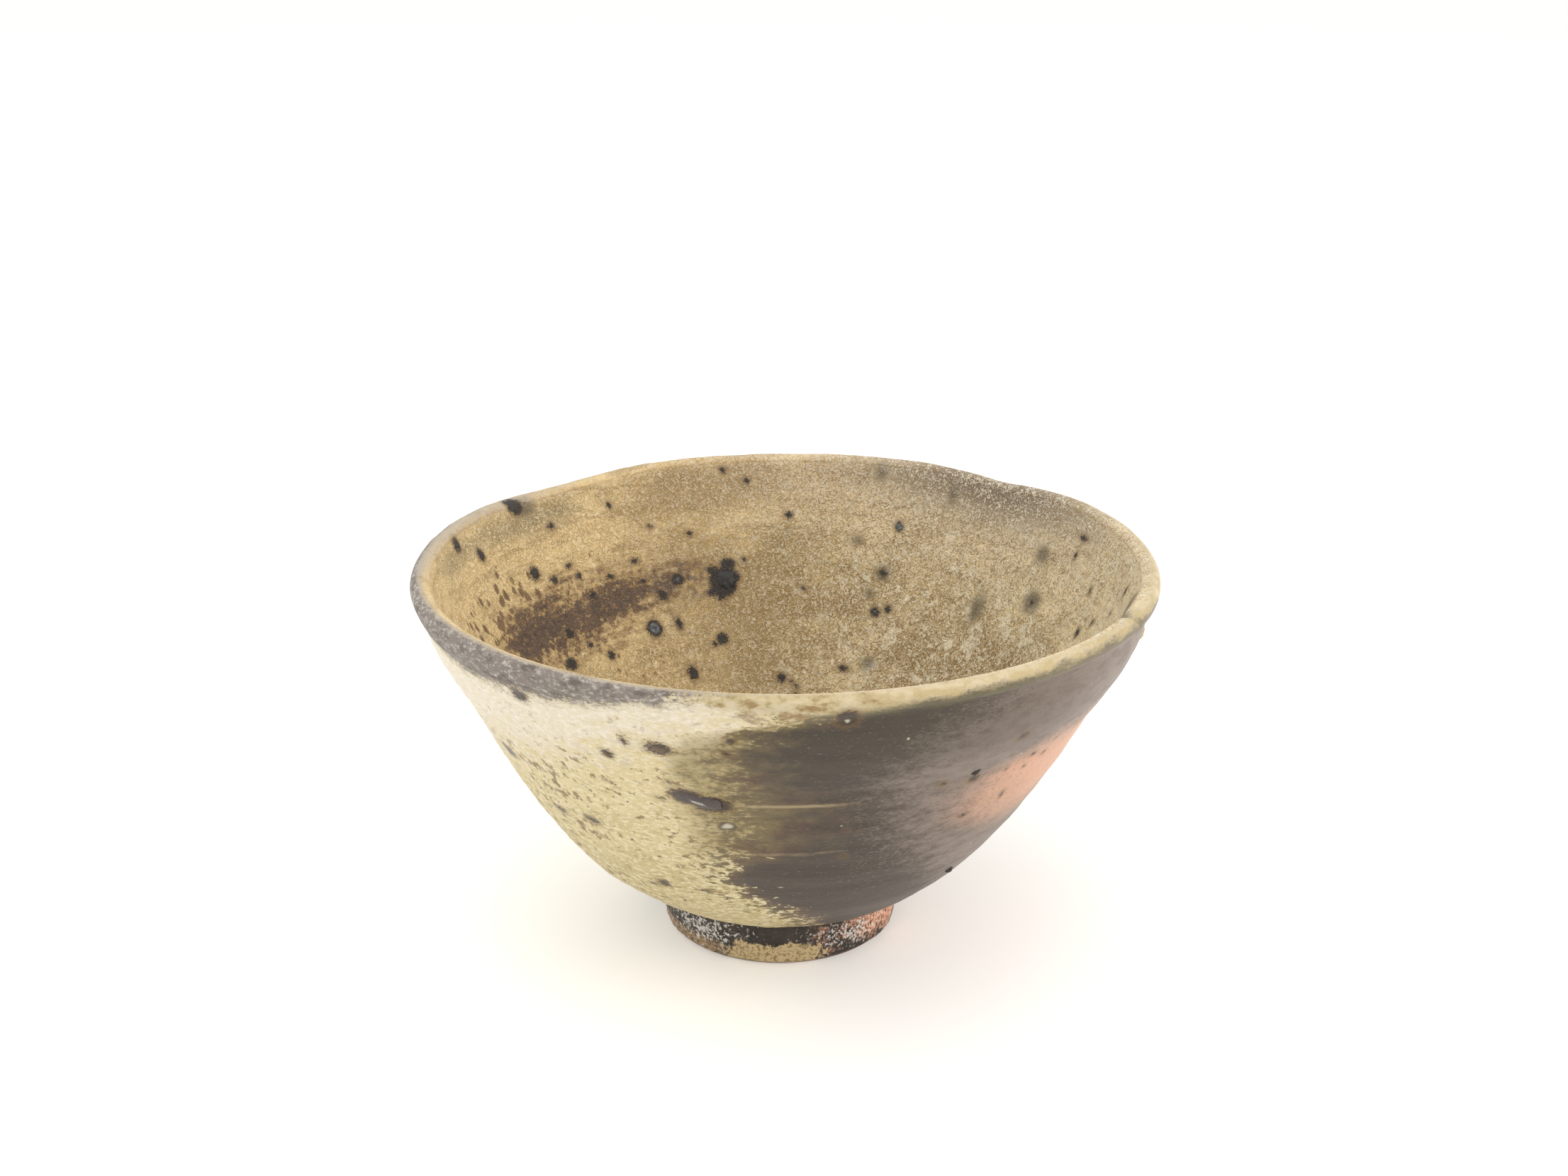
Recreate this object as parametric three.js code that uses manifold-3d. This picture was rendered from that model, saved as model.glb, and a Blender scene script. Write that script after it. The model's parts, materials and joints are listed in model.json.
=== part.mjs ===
// A wheel-thrown, wood-fired stoneware tea bowl on a low foot ring.
// Millimetres, +Z up. The origin is on the table, on the axis that the wall was thrown on, and the front is -Y.
// A bearing is an angle round the bowl in degrees: 0 at the front, 90 at the right, 180 at the back.

import * as THREE from 'three';
import { mergeVertices } from 'three/addons/utils/BufferGeometryUtils.js';
import Module from 'manifold-3d';

// Clay wall
const BOWL_HEIGHT = 65.8;
const LIP_RADIUS = 61.6;
const LIP_THICKNESS = 2.0;
const FLARE_ANGLE = 65;
const FLARE_REACH = 23;
const JOINT_RADIUS = 20.9;
const BELLY_ANGLE = 28;
const BELLY_REACH = 21.6;
const FLOOR_THICKNESS = 5.5;
const WELL_REACH = 30;
const INSIDE_REACH = 33;

// Foot ring
const FOOT_HEIGHT = 7.2;
const FOOT_TOP_RADIUS = 21;
const FOOT_BOTTOM_RADIUS = 20.2;
const FOOT_RING_WIDTH = 5.4;
const FOOT_RECESS_DRAFT = 1.2;
const FOOT_BEVEL = 0.8;
const FOOT_OFF_CENTRE = 0.7;

// Fired coats, and the hairline that parts them from the clay and from each other
const BOND_GAP = 0.2;
const INSIDE_COAT = 0.6;
const LIP_COAT = 0.6;
const LIP_SKIRT_OUTSIDE = 4.2;
const LIP_SKIRT_INSIDE = 1.6;
const ASH_COAT = 0.7;
const ASH_HEM = 2;

// Kiln crumbs stand this far off the surface that they are fused to
const CRUMB_GAP = 0.3;

// How far the thrown lip has gone out of true
const TRUE_HEIGHT = 20;
const LIP_LEAN = 0.2;
const LIP_TILT = 0.35;
const LIP_TILT_BEARING = 40;
const LIP_DIPS = [
  { bearing: 225, depth: 1.1, spread: 13 },
  { bearing: 137, depth: 0.8, spread: 9 },
];

// Edges of the ash coat, by the share of the way up the wall. The two cuts lap at the left side
const ASH_EDGE_FRONT = [
  { share: 0.96, bearing: -12 },
  { share: 0.88, bearing: -8 },
  { share: 0.8, bearing: -10 },
  { share: 0.72, bearing: -5 },
  { share: 0.66, bearing: -10 },
  { share: 0.6, bearing: -17 },
  { share: 0.54, bearing: -11 },
  { share: 0.47, bearing: -18 },
  { share: 0.41, bearing: -15 },
  { share: 0.36, bearing: -7 },
  { share: 0.29, bearing: 0 },
  { share: 0.21, bearing: 4 },
  { share: 0.08, bearing: -9 },
];
const ASH_EDGE_BACK = [
  { share: 0.96, bearing: 210 },
  { share: 0.8, bearing: 205 },
  { share: 0.69, bearing: 211 },
  { share: 0.58, bearing: 202 },
  { share: 0.46, bearing: 207 },
  { share: 0.33, bearing: 199 },
  { share: 0.08, bearing: 216 },
];
const ASH_LAP = 2;

// Kiln crumbs: bearing, distance below the lip, width, height, and how far each stands out and sinks in
const CINDER_INSIDE = { bearing: 193.5, fromLip: 23, wide: 5.6, high: 6, proud: 1, sunk: 0.4 };
const CINDER_FRONT = { bearing: -14, fromLip: 19.8, wide: 6.5, high: 3, proud: 0.9, sunk: 0.3 };
const CINDER_SHOULDER = { bearing: -18, fromLip: 8.4, wide: 4, high: 2.4, proud: 0.7, sunk: 0.3 };
const CRUMB_LEFT = { bearing: -27, fromLip: 12, wide: 2.2, high: 1.9, proud: 0.6, sunk: 0.2 };
const CRUMB_RIGHT = { bearing: 32, fromLip: 18, wide: 2.2, high: 1.7, proud: 0.6, sunk: 0.2 };
const NUB_RIGHT = { bearing: 47, fromLip: 50, wide: 2, high: 2, proud: 1, sunk: 0.2 };
const LIP_BUMP = { bearing: 78, fromLip: 7.5, wide: 2.6, high: 3, proud: 0.7, sunk: 0.2 };

// Fired colours and how matt each surface is
const DARK_CLAY = 0x4a423d;
const FOOT_CLAY = 0x3a2e28;
const OCHRE = 0x9a8355;
const PALE_LIP = 0x8d8371;
const STRAW_ASH = 0xb5a577;
const BLACK_CINDER = 0x1c1b1d;
const BROWN_CINDER = 0x40352a;
const CLAY_ROUGHNESS = 0.6;
const GLAZE_ROUGHNESS = 0.6;
const CINDER_ROUGHNESS = 0.5;

// Facets
const TURN_STEPS = 60;
const WALL_STEPS = 14;
const COAT_STEPS = 12;
const LIP_STEPS = 5;
const SKIRT_STEPS = 2;
const EDGE_STEPS = 2;
const CRUMB_SIDES = 9;
const CRUMB_STEPS = 5;

const wasm = await Module();
wasm.setup();

function onBearing(degrees) {
  const angle = THREE.MathUtils.degToRad(degrees);
  return new THREE.Vector2(Math.cos(angle), Math.sin(angle));
}

// Half section of the wall: the lip is a half round square to the flare, and each side is one easy curve
const wallBase = FOOT_HEIGHT + BOND_GAP;
const floorTop = wallBase + FLOOR_THICKNESS;
const lipRound = LIP_THICKNESS / 2;
const lipCentre = new THREE.Vector2(LIP_RADIUS - lipRound, BOWL_HEIGHT - lipRound);
const flare = onBearing(FLARE_ANGLE);
const lipOut = onBearing(FLARE_ANGLE - 90);
const outsideTop = lipCentre.clone().addScaledVector(lipOut, lipRound);
const insideTop = lipCentre.clone().addScaledVector(lipOut, -lipRound);
const outsideFoot = new THREE.Vector2(JOINT_RADIUS, wallBase);

const outside = new THREE.CubicBezierCurve(
  outsideFoot,
  outsideFoot.clone().addScaledVector(onBearing(BELLY_ANGLE), BELLY_REACH),
  outsideTop.clone().addScaledVector(flare, -FLARE_REACH),
  outsideTop,
);
const inside = new THREE.CubicBezierCurve(
  insideTop,
  insideTop.clone().addScaledVector(flare, -INSIDE_REACH),
  new THREE.Vector2(WELL_REACH, floorTop),
  new THREE.Vector2(0, floorTop),
);

// Point of a side at a share of its length, moved off the clay by a distance
function offSide(side, share, off) {
  const point = side.getPointAt(share);
  const along = side.getTangentAt(share);
  return point.add(new THREE.Vector2(along.y, -along.x).multiplyScalar(off));
}

function sideLine(side, from, to, steps, off) {
  const line = [];
  for (let i = 0; i <= steps; i += 1) {
    line.push(offSide(side, THREE.MathUtils.lerp(from, to, i / steps), off));
  }
  return line;
}

// The round of the lip between the two sides, without its ends
function lipLine(off) {
  const line = [];
  for (let i = 1; i < LIP_STEPS; i += 1) {
    const round = onBearing(FLARE_ANGLE - 90 + (180 * i) / LIP_STEPS);
    line.push(lipCentre.clone().addScaledVector(round, lipRound + off));
  }
  return line;
}

// Out of true: the lip leans to the right, one side stands higher, and it dips in two places
function outOfTrue(point) {
  const rise = Math.max(0, (point.z - TRUE_HEIGHT) / (BOWL_HEIGHT - TRUE_HEIGHT));
  const bearing = THREE.MathUtils.radToDeg(Math.atan2(point.x, -point.y));
  let lift = LIP_TILT * Math.cos(THREE.MathUtils.degToRad(bearing - LIP_TILT_BEARING));
  for (const dip of LIP_DIPS) {
    const away = THREE.MathUtils.euclideanModulo(bearing - dip.bearing + 180, 360) - 180;
    lift -= dip.depth * Math.exp(-((away / dip.spread) ** 2));
  }
  point.x += LIP_LEAN * rise;
  point.z += lift * rise ** 3;
  return point;
}

// A profile turned round the axis, then put out of true like the rest of the bowl
function thrown(profile) {
  const turned = new THREE.LatheGeometry(profile, TURN_STEPS).rotateX(Math.PI / 2);
  const places = turned.getAttribute('position');
  const point = new THREE.Vector3();
  for (let i = 0; i < places.count; i += 1) {
    point.fromBufferAttribute(places, i);
    outOfTrue(point);
    places.setXYZ(i, point.x, point.y, point.z);
  }
  return turned;
}

function solidOf(geometry) {
  geometry.deleteAttribute('normal');
  geometry.deleteAttribute('uv');
  const merged = mergeVertices(geometry);
  return new wasm.Manifold(new wasm.Mesh({
    numProp: 3,
    vertProperties: new Float32Array(merged.getAttribute('position').array),
    triVerts: new Uint32Array(merged.getIndex().array),
  }));
}

function geometryOf(solid) {
  const mesh = solid.getMesh();
  const geometry = new THREE.BufferGeometry();
  geometry.setAttribute('position', new THREE.BufferAttribute(mesh.vertProperties, 3));
  geometry.setIndex(new THREE.BufferAttribute(mesh.triVerts, 1));
  return geometry;
}

function wall() {
  return thrown([
    new THREE.Vector2(0, wallBase),
    ...sideLine(outside, 0, 1, WALL_STEPS, 0),
    ...lipLine(0),
    ...sideLine(inside, 0, 1, WALL_STEPS, 0),
  ]);
}

// The ring was luted on by hand, a little to the left of the axis
function foot() {
  const recess = FOOT_BOTTOM_RADIUS - FOOT_RING_WIDTH;
  const profile = [
    new THREE.Vector2(recess + FOOT_BEVEL, 0),
    new THREE.Vector2(FOOT_BOTTOM_RADIUS - FOOT_BEVEL, 0),
    new THREE.Vector2(FOOT_BOTTOM_RADIUS, FOOT_BEVEL),
    new THREE.Vector2(FOOT_TOP_RADIUS, FOOT_HEIGHT),
    new THREE.Vector2(recess - FOOT_RECESS_DRAFT, FOOT_HEIGHT),
    new THREE.Vector2(recess, FOOT_BEVEL),
    new THREE.Vector2(recess + FOOT_BEVEL, 0),
  ];
  const ring = new THREE.LatheGeometry(profile, TURN_STEPS).rotateX(Math.PI / 2);
  return ring.translate(-FOOT_OFF_CENTRE, 0, 0);
}

function insideGlaze() {
  const top = (LIP_SKIRT_INSIDE + BOND_GAP) / inside.getLength();
  const under = sideLine(inside, top, 1, COAT_STEPS, BOND_GAP);
  const over = sideLine(inside, top, 1, COAT_STEPS, BOND_GAP + INSIDE_COAT);
  return thrown([...under.reverse(), ...over]);
}

function lipGlaze() {
  const skirtOutside = 1 - LIP_SKIRT_OUTSIDE / outside.getLength();
  const skirtInside = LIP_SKIRT_INSIDE / inside.getLength();
  const line = (off) => [
    ...sideLine(outside, skirtOutside, 1, SKIRT_STEPS, off),
    ...lipLine(off),
    ...sideLine(inside, 0, skirtInside, SKIRT_STEPS, off),
  ];
  const under = line(BOND_GAP).reverse();
  return thrown([...under, ...line(BOND_GAP + LIP_COAT), under[0].clone()]);
}

// Everything to the left of an edge, from a place on the Y axis out towards the front
const reach = LIP_RADIUS + BOWL_HEIGHT;

function ashFall(edge, from) {
  const points = edge.map(({ share, bearing }) => {
    const place = outside.getPointAt(share);
    return new THREE.Vector2(place.x * onBearing(bearing).y, place.y);
  });
  const fall = new THREE.Shape();
  fall.moveTo(-reach, reach);
  fall.lineTo(points[0].x, reach);
  fall.lineTo(points[0].x, points[0].y);
  fall.splineThru(points.slice(1));
  fall.lineTo(points[points.length - 1].x, -reach);
  fall.lineTo(-reach, -reach);
  fall.closePath();
  const settings = { depth: reach, bevelEnabled: false, curveSegments: EDGE_STEPS };
  return new THREE.ExtrudeGeometry(fall, settings).rotateX(Math.PI / 2).translate(0, from, 0);
}

function ashGlaze() {
  const hem = ASH_HEM / outside.getLength();
  const top = 1 - (LIP_SKIRT_OUTSIDE + BOND_GAP) / outside.getLength();
  const under = sideLine(outside, hem, top, COAT_STEPS, BOND_GAP).reverse();
  const over = sideLine(outside, hem, top, COAT_STEPS, BOND_GAP + ASH_COAT);
  const ring = solidOf(thrown([...under, ...over, under[0].clone()]));
  const front = solidOf(ashFall(ASH_EDGE_FRONT, 0));
  const back = solidOf(ashFall(ASH_EDGE_BACK, reach - ASH_LAP));
  return geometryOf(ring.intersect(front.add(back)));
}

const bowl = new THREE.Group();

function addPiece(name, geometry, color, roughness) {
  const material = new THREE.MeshStandardMaterial({ color, roughness, metalness: 0 });
  const piece = new THREE.Mesh(geometry, material);
  piece.name = name;
  bowl.add(piece);
  return piece;
}

// A pebble of fused cinder, seated on a coat of a side at a distance from the lip along the clay
function addCrumb(name, side, coat, crumb, color) {
  const profile = [];
  for (let i = 0; i <= CRUMB_STEPS; i += 1) {
    const round = onBearing(-90 + (180 * i) / CRUMB_STEPS);
    const half = round.y < 0 ? crumb.sunk : crumb.proud;
    profile.push(new THREE.Vector2(Math.abs(round.x) / 2, round.y * half));
  }
  const shape = new THREE.LatheGeometry(profile, CRUMB_SIDES).scale(crumb.wide, 1, crumb.high);
  const piece = addPiece(name, shape, color, CINDER_ROUGHNESS);

  const share = crumb.fromLip / side.getLength();
  const along = side === outside ? 1 - share : share;
  const off = coat + CRUMB_GAP + crumb.sunk;
  const flat = offSide(side, along, off);
  const normal = flat.clone().sub(side.getPointAt(along)).normalize();
  const round = onBearing(crumb.bearing);
  piece.position.copy(outOfTrue(new THREE.Vector3(flat.x * round.y, -flat.x * round.x, flat.y)));
  const away = new THREE.Vector3(normal.x * round.y, -normal.x * round.x, normal.y);
  const sideways = new THREE.Vector3(round.x, round.y, 0);
  const turn = new THREE.Matrix4().makeBasis(sideways, away, sideways.clone().cross(away));
  piece.quaternion.setFromRotationMatrix(turn);
}

addPiece('bowl_wall', wall(), DARK_CLAY, CLAY_ROUGHNESS);
addPiece('foot_ring', foot(), FOOT_CLAY, CLAY_ROUGHNESS);
addPiece('inside_glaze', insideGlaze(), OCHRE, GLAZE_ROUGHNESS);
addPiece('lip_glaze', lipGlaze(), PALE_LIP, GLAZE_ROUGHNESS);
addPiece('ash_glaze', ashGlaze(), STRAW_ASH, GLAZE_ROUGHNESS);

const onClay = 0;
const onAsh = BOND_GAP + ASH_COAT;
const onInside = BOND_GAP + INSIDE_COAT;
addCrumb('cinder_inside', inside, onInside, CINDER_INSIDE, BLACK_CINDER);
addCrumb('cinder_front', outside, onAsh, CINDER_FRONT, BROWN_CINDER);
addCrumb('cinder_shoulder', outside, onAsh, CINDER_SHOULDER, BROWN_CINDER);
addCrumb('crumb_left', outside, onAsh, CRUMB_LEFT, BROWN_CINDER);
addCrumb('crumb_right', outside, onClay, CRUMB_RIGHT, BLACK_CINDER);
addCrumb('nub_right', outside, onClay, NUB_RIGHT, BLACK_CINDER);
addCrumb('lip_bump', outside, onClay, LIP_BUMP, PALE_LIP);

export default bowl;
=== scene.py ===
import json
import math

import bpy
import numpy as np
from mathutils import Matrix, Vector, noise

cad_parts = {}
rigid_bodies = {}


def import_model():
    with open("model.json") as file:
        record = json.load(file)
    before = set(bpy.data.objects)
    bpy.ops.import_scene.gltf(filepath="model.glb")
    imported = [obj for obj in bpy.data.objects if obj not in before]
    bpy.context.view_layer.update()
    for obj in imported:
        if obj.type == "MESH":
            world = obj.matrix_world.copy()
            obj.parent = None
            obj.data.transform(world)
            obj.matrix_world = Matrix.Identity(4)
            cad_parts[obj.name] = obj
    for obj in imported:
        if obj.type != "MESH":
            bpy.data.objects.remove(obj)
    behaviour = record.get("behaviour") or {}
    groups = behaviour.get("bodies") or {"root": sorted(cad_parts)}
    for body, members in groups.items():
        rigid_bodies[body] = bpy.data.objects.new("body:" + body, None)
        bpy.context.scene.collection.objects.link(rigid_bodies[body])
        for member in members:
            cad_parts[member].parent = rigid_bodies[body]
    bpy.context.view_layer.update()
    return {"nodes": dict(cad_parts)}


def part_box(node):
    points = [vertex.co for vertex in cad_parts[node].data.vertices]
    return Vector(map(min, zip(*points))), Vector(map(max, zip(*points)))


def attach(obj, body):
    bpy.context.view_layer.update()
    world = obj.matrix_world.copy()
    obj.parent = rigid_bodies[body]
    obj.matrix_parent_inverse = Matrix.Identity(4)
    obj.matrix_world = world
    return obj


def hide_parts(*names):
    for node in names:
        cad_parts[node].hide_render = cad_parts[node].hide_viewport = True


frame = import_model()

# Thrown wall
# The body of the bowl: dark iron-bearing stoneware, thrown on a wheel and fired bare in a wood kiln.
# Fingers left faint rings on it, ash settled on its left, and the flames flashed it salmon on its right.
# A bearing is an angle round the bowl in degrees: 0 at the front, 90 at the right, 180 at the back.
MM = 0.001
WELD = 0.002 * MM
QUAD_ANGLE = math.radians(60)
FACES = (False, False, True)
WALL_LEVELS = 2
RING_PITCH = 5.5
RING_DEPTH = 0.07
RING_EVEN = 0.6
RING_PATCH = 25
# Noise relief: its amount and the size of its lumps in millimetres, then its stretch and its octaves
WALL_SWELL = (0.16, 14, 1.5)
WALL_GRAIN = (0.035, 1.6, 2)
# Heights between which the relief of the outside sets in, above the foot
RELIEF_FROM = (7.6, 9)
# How far the thrown clay stands out from its plain solid: height, then millimetres, and how the sides blend
FULL_LEFT = [(11, 0), (20, 0.8), (29, 0.75), (42, 0.3), (48, 0.3), (56, 0.65), (58, 0.65), (64, 0)]
FULL_RIGHT = [(11, 0), (20, 0.2), (46, 0.3), (55, 1.3), (58, 1.3), (64, 0)]
LEFT_TO_RIGHT = (-0.9, 0.9)


def linked(name, mesh):
    """A new piece with its own bare copy of a mesh, active and the only one selected."""
    piece = bpy.data.objects.new(name, mesh.copy())
    piece.data.materials.clear()
    bpy.context.scene.collection.objects.link(piece)
    bpy.ops.object.select_all(action="DESELECT")
    piece.select_set(True)
    bpy.context.view_layer.objects.active = piece
    return piece


def copied(node, name):
    """A CAD node's mesh as a new piece, with its loose triangles merged and turned back into quads."""
    piece = linked(name, frame["nodes"][node].data)
    bpy.ops.mesh.customdata_custom_splitnormals_clear()
    bpy.ops.object.mode_set(mode="EDIT")
    bpy.ops.mesh.select_all(action="SELECT")
    bpy.ops.mesh.remove_doubles(threshold=WELD)
    bpy.ops.mesh.tris_convert_to_quads(face_threshold=QUAD_ANGLE, shape_threshold=QUAD_ANGLE)
    bpy.ops.object.mode_set(mode="OBJECT")
    bpy.ops.object.shade_smooth()
    return piece


def rounded(piece, levels):
    """Rounds a piece's facets with a subdivision surface, applied."""
    surface = piece.modifiers.new("Rounded", "SUBSURF")
    surface.levels = levels
    surface.render_levels = levels
    bpy.ops.object.modifier_apply(modifier=surface.name)


def select_only(items, chosen, mode):
    """Goes into edit mode with only the chosen vertices or faces selected."""
    bpy.context.tool_settings.mesh_select_mode = mode
    bpy.ops.object.mode_set(mode="EDIT")
    bpy.ops.mesh.select_all(action="DESELECT")
    bpy.ops.object.mode_set(mode="OBJECT")
    items.foreach_set("select", chosen)
    bpy.ops.object.mode_set(mode="EDIT")


def refined(piece, chosen):
    """Cuts the chosen faces once more, on a smooth curve."""
    select_only(piece.data.polygons, chosen, FACES)
    bpy.ops.mesh.subdivide(number_cuts=1, smoothness=1)
    bpy.ops.object.mode_set(mode="OBJECT")


def values(items, name, width):
    """One property of every vertex or face, as rows of numbers."""
    flat = np.empty(len(items) * width, dtype=np.float32)
    items.foreach_get(name, flat)
    return flat.reshape(-1, width).astype(float)


def facing_out(items, place):
    """True for each vertex or face that looks away from the bowl's axis."""
    return (values(items, place, 3)[:, :2] * values(items, "normal", 3)[:, :2]).sum(1) > 0


def places(piece):
    return values(piece.data.vertices, "co", 3) / MM


def put(piece, points):
    piece.data.vertices.foreach_set("co", (points * MM).astype(np.float32).ravel())
    piece.data.update()


def swell(piece, amount):
    """Moves every vertex out along its normal by its own amount in millimetres."""
    outwards = values(piece.data.vertices, "normal", 3)
    put(piece, places(piece) + outwards * amount[:, None])


def around(points):
    """Bearing, distance from the axis and height of each point."""
    x, y, z = points.T
    return np.degrees(np.arctan2(x, -y)), np.hypot(x, y), z


def lumps(points, amount, size, stretch=1.0, octaves=1):
    """Smooth noise of about an amount up and down, in lumps of a size, drawn out along the wheel's turn."""
    scaled = points / size * (1.0, 1.0, stretch)
    return amount * np.array([noise.fractal(Vector(p), 1.0, 2.0, octaves) for p in scaled])


def rise(value, low, high):
    """0 below low, 1 above high, and an easy curve between them."""
    part = np.clip((value - low) / (high - low), 0, 1)
    return part * part * (3 - 2 * part)


def eased(value, stops):
    """A smooth curve through a few points, which runs level at each of them."""
    height = np.full(len(value), float(stops[0][1]))
    for (low, before), (high, after) in zip(stops, stops[1:]):
        height += (after - before) * rise(value, low, high)
    return height


def wheel_marks(points):
    """Relief of the thrown clay: a full belly, a spiral of finger rings, slow swells and fine grain."""
    bearing, _, height = around(points)
    turn = (height + bearing / 360 * RING_PITCH) / RING_PITCH
    rings = np.sin(2 * math.pi * turn) * (RING_EVEN + lumps(points, 1 - RING_EVEN, RING_PATCH))
    relief = eased(height, FULL_LEFT)
    relief += (eased(height, FULL_RIGHT) - relief) * rise(np.sin(np.radians(bearing)), *LEFT_TO_RIGHT)
    relief += RING_DEPTH * rings + lumps(points, *WALL_SWELL)
    return relief + lumps(points, *WALL_GRAIN)


wall = copied("bowl_wall", "thrown_wall")
rounded(wall, WALL_LEVELS)
refined(wall, facing_out(wall.data.polygons, "center"))
outside_share = rise(places(wall)[:, 2], *RELIEF_FROM)
swell(wall, wheel_marks(places(wall)) * outside_share * facing_out(wall.data.vertices, "co"))

# The height of the lip's top at each bearing, read from the lip's own solid
LIP_COLUMNS = 60
lip_bearing, lip_radius, lip_height = around(values(frame["nodes"]["lip_glaze"].data.vertices, "co", 3) / MM)
lip_column = np.round(lip_bearing / 360 * LIP_COLUMNS).astype(int) % LIP_COLUMNS
lip_tops = np.zeros(LIP_COLUMNS)
np.maximum.at(lip_tops, lip_column, lip_height)


def on_lip(bearing, measures):
    """A measure that is known at each column of the lip, read at any bearing."""
    return np.interp(bearing, np.arange(LIP_COLUMNS) * 360 / LIP_COLUMNS, measures, period=360)


def below_lip(points):
    """How far each point lies below the top of the lip at its bearing."""
    bearing, _, height = around(points)
    return on_lip(bearing, lip_tops) - height


# Edges and limits of the fired zones, a few points each: height or bearing first, then the value.
# Those in view were picked on the photograph, measured on the solids and adjusted, the rest guessed
ASH_EDGE_FRONT = [
    (8, 3), (14, 3), (16, 2), (18, -2), (20, -5), (22, -8), (24, -11), (26, -13), (33, -12), (37, -12),
    (40, -10), (43, -10), (46, -10), (50, -11), (56, -10.5), (59, -8.5), (60.5, -6.5), (61.6, -1), (62.6, 3),
    (66, 6),
]
ASH_EDGE_BACK = [(8, -144), (22, -161), (30, -153), (38, -158), (45, -149), (52, -155), (62, -150)]
ASH_SOFTNESS = [
    (8, 0.5), (26, 0.5), (32, 1.4), (37, 3.5), (46, 4.5), (54, 5), (60, 3.5), (62, 2.4), (64, 1.5),
]
ASH_RAGGED = (2.2, 6, 2.5, 4)
HAZE_WIDTH = [
    (8, 5), (18, 7), (24, 5), (29, 4), (33, 10), (38, 21), (46, 20), (50, 15), (56, 12), (60, 9), (64, 5),
]
IVORY_LIMIT = [
    (-180, 54), (-120, 48), (-90, 42), (-72, 43), (-59, 46), (-41, 50), (-25, 56), (-14, 59.5), (-5, 62.5),
    (5, 72),
]
# The brown spatter on the ash: where it sets in and thins out going left, by how much, and where it ends above
SPECKLED_FROM = (15, 70)
SPECKLED_THINS = (78, 110)
SPECKLED_LOSS = 0.8
SPECKLED_TOP = (42, 60)
FLASH_BEARING = 66
FLASH_HALF_WIDTH = 34
FLASH_HEIGHT = 43
FLASH_ABOVE = 8
FLASH_BELOW = 11.5
FLASH_WAVER = (0.12, 16, 1.5, 2)
# The flash is narrower at its left end, and widens between two bearings
FLASH_NARROW = 0.6
FLASH_WIDENS = (28, 52)
MAUVE_EDGE = [(8, 58), (20, 42), (27, 31), (38, 20), (49, 15), (56, 20), (66, 33)]
MAUVE_END = 132
MAUVE_FADE = 0.4
GREY_BAND = [
    (-180, -2), (-125, -2), (-108, 1.5), (-90, 4.4), (-63, 5), (-52, 6.2), (-42, 5.4), (-33, 4.8), (-26, 3.6),
    (-19, 2.2), (-13, 0.9), (-6, -0.5), (0, -1.5), (180, -2),
]
CREAM_BEAD = [
    (-180, 0.8), (-120, 0.6), (-30, -1), (-12, 1.2), (-4, 2.7), (6, 2.9), (18, 1.9), (35, 1.4), (52, 1.1),
    (70, 1.3), (79, 3), (88, 1.6), (100, 1), (180, 0.8),
]
# Patches: bearing, height, half width in degrees and half height
PATCH_CORNER = 3
# One patch is painted shade: darker clay under the lip's bead
OUTSIDE_PATCHES = {
    "shade_under_bead": (20, 58.5, 34, 7), "stain": (0, 63.8, 11, 3.2), "scuff": (23, 34, 15, 11), "scored": (1, 42, 12, 9),
}
# Two lines that a grain under the potter's finger scored, one above the other
SCORE_HEIGHT = 45.5
SCORE_HALF_PITCH = 5.4
# Dark spots, found in the same way: bearing, height, half width and half height
OUTSIDE_SPOTS = [
    (-40, 61, 1.7, 1.4), (-56, 44, 2.4, 1.3), (-38, 36.5, 1.7, 0.9), (-28, 24.5, 1.3, 1.1),
    (-31, 23, 0.8, 0.5), (-17.5, 50, 0.6, 0.5), (-23, 57.4, 0.6, 1), (-48, 35, 1.8, 0.7),
    (-8, 56.5, 0.9, 0.6), (-7.5, 59, 1, 0.7), (-20.5, 46, 0.8, 0.4), (-17, 24.5, 1.2, 0.5),
    (38, 53.5, 1.3, 0.9), (46, 47, 0.8, 0.6), (49.5, 46, 0.5, 0.5), (34.5, 38, 1.1, 0.6),
    (26, 47, 0.8, 0.5), (40, 46, 0.4, 0.4), (45, 45, 0.4, 0.4), (42.5, 39.5, 0.5, 0.8),
    (58, 48.5, 0.7, 0.6), (50, 48.5, 0.5, 0.5), (11.5, 33.5, 0.6, 0.5), (-82, 52, 1.4, 1),
    (-95, 36, 1.8, 1.1), (-118, 48, 1.5, 1.3), (-136, 29, 1.2, 1), (-70, 28, 1.4, 0.7), (84, 37, 0.9, 0.7),
    (112, 50, 1.1, 0.8), (148, 34, 0.9, 0.7), (-174, 47, 1.4, 0.9), (-18, 56.5, 2.3, 1.4),
    (8.4, 63.2, 1.9, 1.7), (-15.5, 46.8, 2.9, 1.9), (-11.5, 45.2, 3, 1.9), (32, 46.2, 1.3, 1),
    (-27, 53.5, 1.1, 1),
]
# Pale spots: shards of kiln brick, a white glass bead, and one painted glint on the drip under the lip
PALE_SPOTS_AND_GLINT = [
    (-10, 41, 1.1, 0.8), (-1, 26, 0.7, 0.35), (8.5, 62.6, 0.6, 0.6), (10, 41, 0.35, 0.3), (126, 30, 0.8, 0.6),
]
# A spot is set on the face whose side is given, and sought only near its bearing, in degrees
OUTSIDE = 1
INSIDE = -1
FACE_BIAS = 0.4
SPOT_SEARCH = 20
TOO_FAR = 1e4
NO_SPOT = -9.0


def turned(bearing, start):
    """How far round a bearing lies from another one, the short way."""
    return (bearing - start + 180) % 360 - 180


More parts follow.
